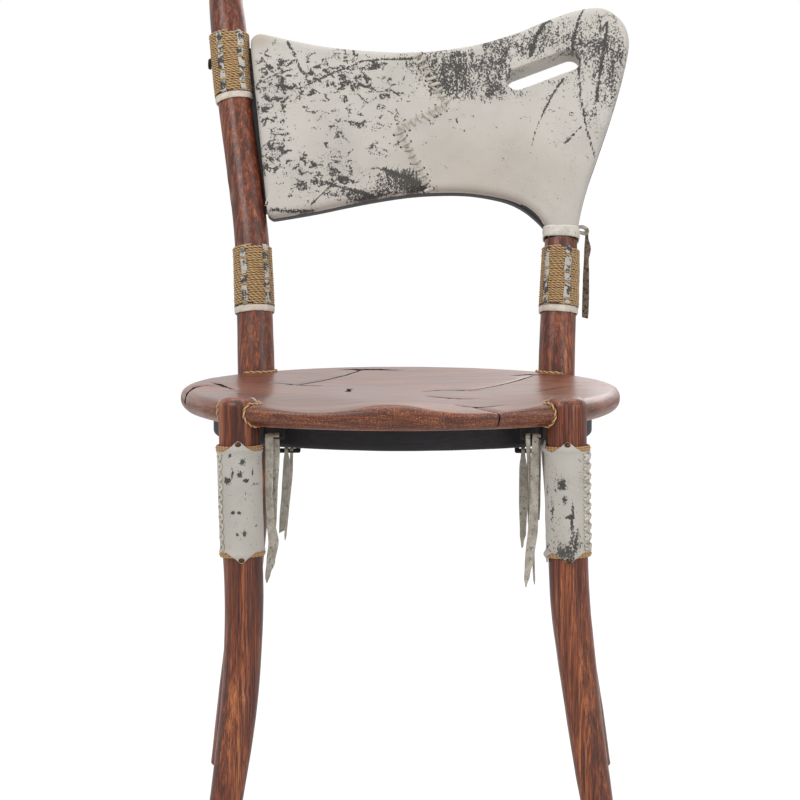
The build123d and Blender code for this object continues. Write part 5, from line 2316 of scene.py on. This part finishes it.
@dataclass
class LegSleeve:
    """Laced hide sleeve on a front leg, with scalloped ends over braided cord rings."""

    name: str
    pole: Pole
    side: Side
    lace_angle: float
    top: float = 425.0
    bottom: float = 296.0
    ring_inset: float = 8.6
    laces: int = 10
    lace_pitch: float = 10.6
    stand: float = 2.2
    ring_swell: float = 2.9
    ring_spread: float = 3.6
    scallop_depth: float = 11.6
    scallop_reach: float = 42.0
    ring_row: float = 1.9

    def build(self) -> None:
        """Makes the sleeve, its cord rings, its lacing and its tacks."""
        self._sleeve()
        self._rings()
        self._lacing()
        self._tacks()

    def _proud(self, height: float) -> float:
        """How far the sleeve's outside stands off the leg at a height.

        Args:
            height: Height above the floor.

        Returns:
            The distance.
        """
        swell = 0.0
        for ring in (self.top - self.ring_inset, self.bottom + self.ring_inset):
            swell += math.exp(-(((height - ring) / self.ring_spread) ** 2))
        return self.stand + self.ring_swell * min(1.0, swell)

    def _scallop(self, angle: float) -> float:
        """How far an end is cut back at an angle: nothing at a point, most between two points.

        Args:
            angle: Degrees from the front.

        Returns:
            The distance.
        """
        points = (0, 180) if self.side is Side.LEFT else (0, -86, 180)
        away = min(abs((angle - point + 180) % 360 - 180) for point in points)
        share = min(1.0, away / self.scallop_reach)
        return self.scallop_depth * (share**1.5) * (2.0 - share**1.5)

    def _sleeve(self) -> None:
        """Wraps the hide and cuts its ends."""
        def spot(across: float, along: float) -> Vector:
            """Position on the sleeve.

            Args:
                across: Share round the leg.
                along: Share up the sleeve.

            Returns:
                The position.
            """
            angle = self.lace_angle + 0.5 + across * 359.0
            ragged = 0.5 * fractal((angle * 0.4, 0, 0), 9, self.lace_angle)
            low = self.bottom + self._scallop(angle) + ragged
            high = self.top - self._scallop(angle) - ragged
            height = low + (high - low) * along
            on_skin = (angle * 0.42, height, 0)
            dent = 0.28 * fractal(on_skin, 19, 3.0) + 0.12 * fractal(on_skin, 6, 1.0)
            edge = math.exp(-(min(across, 1 - across) / 0.012) ** 2) * 0.5
            return self.pole.skin(height, angle, self._proud(height) + dent - edge)

        sleeve = Bench.grid(f"sleeve_{self.name}", 150, 96, spot)
        Bench.modify(sleeve, "SOLIDIFY", thickness=1.3, offset=-1)
        Bench.heal(sleeve, 0.0001)
        points = Bench.points(sleeve)
        marks = []
        for x, y, z in points:
            centre, _ = self.pole.at(z)
            angle = math.degrees(math.atan2(x - centre.x, -(y - centre.y)))
            value = 0.01 + 0.12 * fractal((angle * 0.4, z, 0), 30, 7.0 + self.lace_angle)
            for a, height, ra, rz, amount in self._blots():
                value += amount * math.exp(-(((angle - a) / ra) ** 2) - (((z - height) / rz) ** 2))
            marks.append(min(1.5, max(0.0, value)))
        Bench.paint(sleeve, "marks", marks)
        lively = 0.0 if self.side is Side.LEFT else 0.45
        Bench.paint(sleeve, "flecks", [lively * smooth(376 - point[2], 0, 50) for point in points])
        piece = Bench.deliver(
            sleeve, f"hide_sleeve_{self.name}", "hide", [Hide(0, srgb(192, 187, 178))],
            [f"leg_sleeve_{self.name}"], angle=60,
        )

    def _blots(self) -> Rows:
        """Dark blots of this sleeve: angle, height, reach both ways and strength.

        Returns:
            One row for each blot.
        """
        if self.side is Side.LEFT:
            return (
                (-31, 384, 10, 3.2, 1.4), (-22, 410, 4, 2, 1.2), (11, 403.5, 6, 3, 1.2),
                (3, 390.5, 6, 3, 1.3), (-16, 392.5, 3, 4, 1.2), (37, 391, 3, 4, 1.2), (20, 384, 9, 1.8, 1.2),
                (46, 380, 12, 2, 1.2), (-19, 350, 6, 1.7, 1.2), (0, 350, 5, 1.7, 1.2),
                (45, 335.6, 7, 1.3, 1.1),
                (-9, 327, 3, 2.5, 1.1), (11, 328, 4, 2.5, 1.1), (120, 350, 40, 20, 0.5),
            )
        return ((-14, 380, 9, 4.6, 1.4), (-9, 363.5, 7, 5, 1.0), (2, 346, 13, 2, 1.2), (12, 353, 3, 8, 1.2),
                (9, 340, 4, 8, 1.2), (-43, 352, 5, 12, 0.9), (8, 318, 20, 12, 0.85), (-14, 309, 16, 7, 0.8),
                (4, 300, 10, 6, 0.8), (24, 326, 8, 8, 0.7), (-62, 372, 5, 5, 0.7), (150, 360, 40, 24, 0.5))

    def _rings(self) -> None:
        """Cord rings that show in the scallops."""
        pieces = []
        for height in (self.top - self.ring_inset, self.bottom + self.ring_inset):
            for row in (-1, 0, 1):
                level = height + row * self.ring_row
                proud = 1.9 + (0.7 if row == 0 else 0)
                path = [self.pole.skin(level, step * 2.4, proud) for step in range(150)]
                path = even_path(path, 0.9, closed=True)
                pieces.append(Twist(1.25, 4.4, 8, 0.34).lay("ring", path, closed=True))
        rings = Bench.join(f"rings_{self.name}", pieces)
        cad_node = f"sleeve_cords_{self.name}"
        Bench.deliver(rings, f"braided_rings_{self.name}", "cord", [GOLD_FIBRE], [cad_node])

    def _lacing(self) -> None:
        """Loops across the sleeve's seam."""
        chance = random.Random(5 + self.side.value)
        middle = (self.top + self.bottom) / 2
        low = middle - self.lace_pitch * (self.laces - 1) / 2
        pieces = []
        for index in range(self.laces):
            height = low + index * self.lace_pitch
            if self.side is Side.LEFT:
                pieces.append(self._bead(height, chance))
                continue
            for sign in (-1, 1):
                slope = chance.uniform(-0.8, 0.8) + sign * 4.2
                reach = chance.uniform(5.4, 6.2)
                path = []
                for step in range(15):
                    share = step / 14 * 2 - 1
                    proud = 2.0 + 1.7 * (1 - share**4) + (0.3 * sign)
                    path.append(self.pole.skin(
                        height + slope * share * 0.6, self.lace_angle + share * reach / 23.5 * RADIAN, proud,
                    ))
                radii = [2.0 * (0.75 + 0.25 * (1 - (step / 7 - 1) ** 2)) for step in range(15)]
                pieces.append(Bench.tube("loop", [tuple(point) for point in path], radii, 10))
        lacing = Bench.join(f"lacing_{self.name}", pieces)
        Bench.deliver(
            lacing, f"lace_loops_{self.name}", "hide_lacing",
            [PlainLeather(srgb(164, 157, 144), srgb(214, 208, 196), 0.3)], [f"sleeve_lacing_{self.name}"],
        )

    def _bead(self, height: float, chance: random.Random) -> Piece:
        """One thong loop that lies flat and round over the seam.

        Args:
            height: Height above the floor.
            chance: Source of small differences.

        Returns:
            The loop.
        """
        centre, side, rear, up, radius = self.pole.frame(height)
        turn = math.radians(self.lace_angle + chance.uniform(-2, 2))
        out = side * math.sin(turn) - rear * math.cos(turn)
        bead = Bench.primitive(
            "torus", major_segments=28, minor_segments=12, major_radius=2.6, minor_radius=1.35,
        )
        matrix = Matrix((out.cross(up), up * 1.12, out)).transposed().to_4x4()
        bead.data.transform(Matrix.Translation(centre + out * (radius + 3.0)) @ matrix)
        return bead

    def _tacks(self) -> None:
        """Domed tacks through the front points."""
        pieces = []
        for height in (self.top - 3.7, self.bottom + 3.7):
            centre = self.pole.skin(height, 0, self._proud(height) - 0.4)
            head = Bench.primitive(
                "uv_sphere", segments=28, ring_count=16, radius=3.3, location=centre, scale=(1, 0.62, 1),
            )
            pieces.append(head)
        tacks = Bench.join(f"tacks_{self.name}", pieces)
        cad_node = f"sleeve_tacks_{self.name}"
        Bench.deliver(tacks, f"domed_tacks_{self.name}", "tack", [AgedMetal()], [cad_node])


# ---------------------------------------------------------------- thongs


@dataclass
class Thong:
    """Hide strip that folds over its cord and hangs with a few soft twists."""

    node: str
    body: str
    pivot: tuple[float, float]
    hook: float
    tip: tuple[float, float]
    side: int
    wide: Rows
    finish: Finish = SUEDE
    thickness: float = 1.5
    cut: float = 0.5
    fold: float = 3.5
    ruffle: float = 0.35
    curl: float = 0.10

    def build(self) -> None:
        """Makes the strip: over the cord, then down to its cut end."""
        y0, z0 = self.pivot
        fold = self.fold
        side = self.side if self.side else -1
        hang = z0 - self.tip[1]
        round_length = math.pi * fold
        total = round_length + hang

        def spot(across: float, along: float) -> Vector:
            """Position on the strip.

            Args:
                across: Share across the strip.
                along: Share down it.

            Returns:
                The position.
            """
            arc = total * along
            share = max(0.0, (arc - round_length) / hang)
            offset, width, turn = self._profile(share)
            x = self.hook + (self.tip[0] - self.hook) * share + offset
            if arc < round_length:
                angle = math.pi * arc / round_length
                middle = Vector((x, y0 - side * fold * math.cos(angle), z0 + fold * math.sin(angle)))
            else:
                drift = fold if self.side else fold * (1 - smooth(share, 0.0, 0.08))
                middle = Vector((x, y0 + side * drift, z0 - (arc - round_length)))
            twist = math.radians(turn)
            off = (across - 0.5) * width
            slant = self.cut * width * (across - 0.5) * smooth(share, 0.80, 1.0)
            ruffle = self.ruffle * fractal((off * 2, arc, self.hook), 8, 2.0)
            curl = self.curl * width * (abs(2 * across - 1) ** 2) * smooth(share, 0.02, 0.2)
            rearward = math.sin(twist) * off + (ruffle + curl) * side * 0.6
            return middle + Vector((math.cos(twist) * off, rearward, slant))

        strip = Bench.grid(self.node, 10, 110, spot)
        Bench.modify(strip, "SOLIDIFY", thickness=self.thickness, offset=0)
        Bench.heal(strip, 0.0001)
        Bench.modify(strip, "BEVEL", width=0.3, segments=2, limit_method="ANGLE", angle_limit=0.9)
        area = sum(face.area for face in strip.data.polygons) / 2 * MM * MM
        name = f"hanging_{self.node}"
        piece = Bench.deliver(strip, name, "thong", [self.finish], [self.node], self.body, 70)
        length = total * MM
        width = max(0.0101, min(0.05, area / length))
        min(area, width * length)

    def _profile(self, share: float) -> tuple[float, float, float]:
        """Sideways offset, width and turn at a share of the hanging length.

        Args:
            share: Share of the hanging length.

        Returns:
            Offset, width and turn.
        """
        rows = self.wide
        if share <= rows[0][0]:
            return rows[0][1:]
        for a, b in zip(rows, rows[1:]):
            if share <= b[0]:
                part = smooth(share, a[0], b[0])
                return tuple(x + (y - x) * part for x, y in zip(a[1:], b[1:]))
        return rows[-1][1:]


FRONT_PIVOT = (-158.0, 426.8)
REAR_PIVOT = (-112.0, 406.8)
TIE_PIVOT = (212.0, 621.5)
THONGS = (
    Thong("thong_left_long", "fringe_left_front", FRONT_PIVOT, -140.8, (-142.6, 272.0), -1,
          ((0, 0, 8.6, 0), (0.10, 0.5, 8.6, 8), (0.35, 0, 7.4, -20), (0.55, 2.0, 8.5, 10),
           (0.72, 5.5, 11.0, -12), (0.86, 3.0, 9.0, 6), (0.95, 0, 5.5, 0), (1, -1.0, 1.5, 0))),
    Thong("thong_left_narrow", "fringe_left_front", FRONT_PIVOT, -133.4, (-136.0, 328.0), 1,
          ((0, 0, 6.4, 0), (0.2, 0.5, 6.8, 10), (0.6, 0, 5.6, -10), (0.9, 0, 4.6, 0), (1, 0, 3.8, 0))),
    Thong("thong_left_slant", "fringe_left_rear", REAR_PIVOT, -124.5, (-128.5, 320.0), -1,
          ((0, 0, 4.0, 0), (0.15, 0.6, 7.0, -8), (0.5, 0.6, 7.6, 12), (0.85, -0.6, 7.4, 0),
           (1, -1, 6.4, 0))),
    Thong("thong_left_thin", "fringe_left_rear", REAR_PIVOT, -119.0, (-126.5, 310.0), 1,
          ((0, 0, 3.4, 0), (0.3, 0.6, 3.8, 16), (0.7, 0, 3.4, -10), (0.95, 0, 2.2, 0), (1, 0, 0.9, 0))),
    Thong("thong_right_long", "fringe_right_front", FRONT_PIVOT, 139.6, (131.5, 268.0), -1,
          ((0, 0, 6.6, 0), (0.12, 0.5, 8.4, 6), (0.4, 2.0, 9.0, -14), (0.62, 2.5, 10.5, 10),
           (0.8, 0.5, 9.5, -8), (0.93, -1.0, 6.0, 0), (1, -1.5, 1.5, 0))),
    Thong("thong_right_short", "fringe_right_front", FRONT_PIVOT, 143.4, (142.4, 338.0), 1,
          ((0, 0, 3.4, 0), (0.3, 0, 4.6, 0), (0.8, 0, 4.6, 6), (1, 0, 3.8, 0))),
    Thong("thong_right_thin", "fringe_right_front", FRONT_PIVOT, 131.4, (139.0, 270.0), 0,
          ((0, 0, 4.6, 0), (0.3, 0.4, 3.2, 20), (0.7, 0, 3.0, -16), (0.95, 0, 2.0, 0), (1, 0, 0.9, 0))),
    Thong("thong_right_inner", "fringe_right_rear", REAR_PIVOT, 127.5, (127.0, 303.0), -1,
          ((0, 0, 4.0, 0), (0.18, 0, 8.0, -8), (0.5, 0.8, 9.5, 10), (0.85, 0.5, 6.5, 0), (0.96, 0, 3.0, 0),
           (1, 0, 1.2, 0))),
    Thong("thong_right_second", "fringe_right_rear", REAR_PIVOT, 133.5, (136.0, 313.0), 1,
          ((0, 0, 3.8, 0), (0.3, 0.4, 5.6, 10), (0.8, 0, 5.2, 0), (1, 0, 2.0, 0))),
    Thong("tie_strip", "tie_tail", TIE_PIVOT, 207.0, (205.4, 522.0), 1,
          ((0, 0, 3.4, 0), (0.06, 0, 3.8, 0), (0.20, 1.2, 7.6, 10), (0.33, 0.2, 5.6, -14),
           (0.5, 0.2, 7.0, 4), (0.75, 0.3, 7.6, 0), (0.92, 0.2, 7.6, 0), (1, 0, 6.8, 0)),
          PlainLeather(srgb(90, 77, 66), srgb(148, 131, 112), 1.1, srgb(30, 28, 28)), cut=-0.25),
)


# ---------------------------------------------------------------- camera and light


def aimed(place: Point, target: Point) -> Euler:
    """Turn of a camera or lamp that stands at a place and looks at a target."""
    return (Vector(target) - Vector(place)).to_track_quat("-Z", "Y").to_euler()


@dataclass(frozen=True)
class Lamp:
    """Soft box that points at a height above the middle of the floor, in metres and watts."""

    name: str
    place: Point
    aim: float
    width: float
    height: float
    power: float

    def build(self) -> None:
        """Adds the lamp."""
        data = bpy.data.lights.new(self.name, "AREA")
        data.shape = "RECTANGLE"
        data.size = self.width
        data.size_y = self.height
        data.energy = self.power
        lamp = bpy.data.objects.new(self.name, data)
        lamp.location = self.place
        lamp.rotation_euler = aimed(self.place, (0, 0, self.aim))
        bpy.context.scene.collection.objects.link(lamp)


LAMPS = (
    Lamp("key", (-1.6, -1.9, 2.3), 0.55, 1.6, 1.3, 34),
    Lamp("fill", (2.0, -1.5, 1.5), 0.5, 1.4, 1.8, 14),
    Lamp("top", (0.1, 0.4, 2.7), 0.4, 2.0, 2.0, 26),
    Lamp("back", (0.9, 2.2, 1.6), 0.6, 1.6, 1.2, 14),
    Lamp("strip", (1.22, -2.1, 1.0), 0.6, 0.14, 1.7, 4.5),
)


@dataclass(frozen=True)
class Studio:
    """Camera, floor, backdrop and lamps."""

    eye: Point = (0.03541, -4.04325, 0.867)
    target: Point = (-0.01099, -0.04325, 0.4494)
    lens: float = 165.33
    sensor: float = 36.0
    white: Colour = (1, 1, 1, 1)
    surround: float = 0.42
    floor_size: float = 60.0
    floor_grey: float = 0.86
    floor_glow: float = 1.12
    floor_fade: float = 0.86

    def build(self) -> None:
        """Sets up everything that isn't the chair."""
        data = bpy.data.cameras.new("camera")
        data.lens = self.lens
        data.sensor_width = self.sensor
        data.clip_end = 100
        camera = bpy.data.objects.new("camera", data)
        camera.location = self.eye
        camera.rotation_euler = aimed(self.eye, self.target)
        bpy.context.scene.collection.objects.link(camera)
        bpy.context.scene.camera = camera
        bpy.context.scene.view_settings.view_transform = "Standard"
        self._world()
        self._floor()
        for lamp in LAMPS:
            lamp.build()

    def _world(self) -> None:
        """Even pale surround that the camera and reflections see as white."""
        world = bpy.data.worlds.new("surround")
        bpy.context.scene.world = world
        world.use_nodes = True
        world.node_tree.nodes.clear()
        tree = Tree(world.node_tree)
        camera, glossy, through = (
            tree.node("ShaderNodeLightPath", output=f"Is {kind} Ray")
            for kind in ("Camera", "Glossy", "Transmission")
        )
        seen = tree.node("ShaderNodeBackground", None, {"Color": self.white})
        lit = tree.node("ShaderNodeBackground", None, {"Color": self.white, "Strength": self.surround})
        share = camera.highest(glossy.highest(through))
        mix = tree.node("ShaderNodeMixShader", None, {0: share, 1: lit, 2: seen})
        output = world.node_tree.nodes.new("ShaderNodeOutputWorld")
        tree.feed(output.inputs[0], mix)

    def _floor(self) -> None:
        """Plain pale floor that fades into the surround."""
        floor = Bench.primitive("plane", size=self.floor_size, location=(0, 0, 0))
        floor.name = "floor"
        material = bpy.data.materials.new("PaleFloor")
        material.use_nodes = True
        tree = Tree(material.node_tree)
        shader = material.node_tree.nodes["Principled BSDF"]
        tree.feed(shader.inputs["Base Color"], (self.floor_grey, self.floor_grey, self.floor_grey, 1))
        tree.feed(shader.inputs["Roughness"], 0.9)
        tree.feed(shader.inputs["Specular IOR Level"], 0.1)
        glow = tree.node("ShaderNodeEmission", None, {"Color": self.white, "Strength": self.floor_glow})
        share = tree.node("ShaderNodeLightPath", output="Is Camera Ray") * self.floor_fade
        plain = Signal(tree, shader.outputs[0])
        mix = tree.node("ShaderNodeMixShader", None, {0: share, 1: plain, 2: glow})
        tree.feed(material.node_tree.nodes["Material Output"].inputs[0], mix)
        floor.data.materials.append(material)


BINDINGS = (
    Binding("upper", REAR_LEFT, 775.0, 846.5, ((-27, 6.6), (34, 7.6), (116, 8.0), (196, 8.0)), 25, 1),
    Binding("lower_left", REAR_LEFT, 536.0, 604.0, ((-25, 6.8), (44, 7.0), (122, 8.0), (200, 8.0)), 24, 2),
    Binding("lower_right", REAR_RIGHT, 536.0, 603.0, ((-44, 6.4), (22, 8.0), (110, 8.0), (190, 8.0)), 24, 3),
)


def dress_kept_nodes(frame: dict) -> None:
    """Gives the CAD nodes that stay their finishes.
    """
    # the thong cords take the near-black suede of painted shade
    kept = {
        "dowel": RawWood(), "screw": AgedMetal(srgb(96, 96, 98), srgb(168, 168, 170), 0.35),
        "bolt": AgedMetal(srgb(16, 16, 18), srgb(44, 44, 46), 0.4), "thong_cord": SUEDE_PAINTED_SHADE,
    }
    slots = {row["node"]: row["material_slot"] for row in frame["record"]["subparts"]}
    for node, piece in frame["nodes"].items():
        finish = kept.get(slots[node])
        if finish is None:
            continue
        for held in piece.material_slots:
            held.material = finish.material()


def main() -> None:
    """Builds the studio and every piece, in order."""
    logging.basicConfig(level=logging.INFO, format="%(name)s: %(message)s")
    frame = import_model()
    Studio().build()
    dress_kept_nodes(frame)
    CarvedPole("front_leg_left", FRONT_LEFT, Top.LEVEL, 0.3, ((160, 20, 7, 1.1),)).build()
    CarvedPole("front_leg_right", FRONT_RIGHT, Top.LEVEL, 1.7).build()
    CarvedPole("rear_post_left", REAR_LEFT, Top.DOMED, 2.9, ((668, -62, 8, 1.3),)).build()
    CarvedPole("rear_post_right", REAR_RIGHT, Top.NECK, 4.1).build()
    Seat().build()
    BackPanel().build()
    for binding in BINDINGS:
        binding.build()
    LegSleeve("left", FRONT_LEFT, Side.LEFT, -56.0).build()
    LegSleeve("right", FRONT_RIGHT, Side.RIGHT, 60.0).build()
    for thong in THONGS:
        thong.build()


if __name__ == "__main__":
    main()
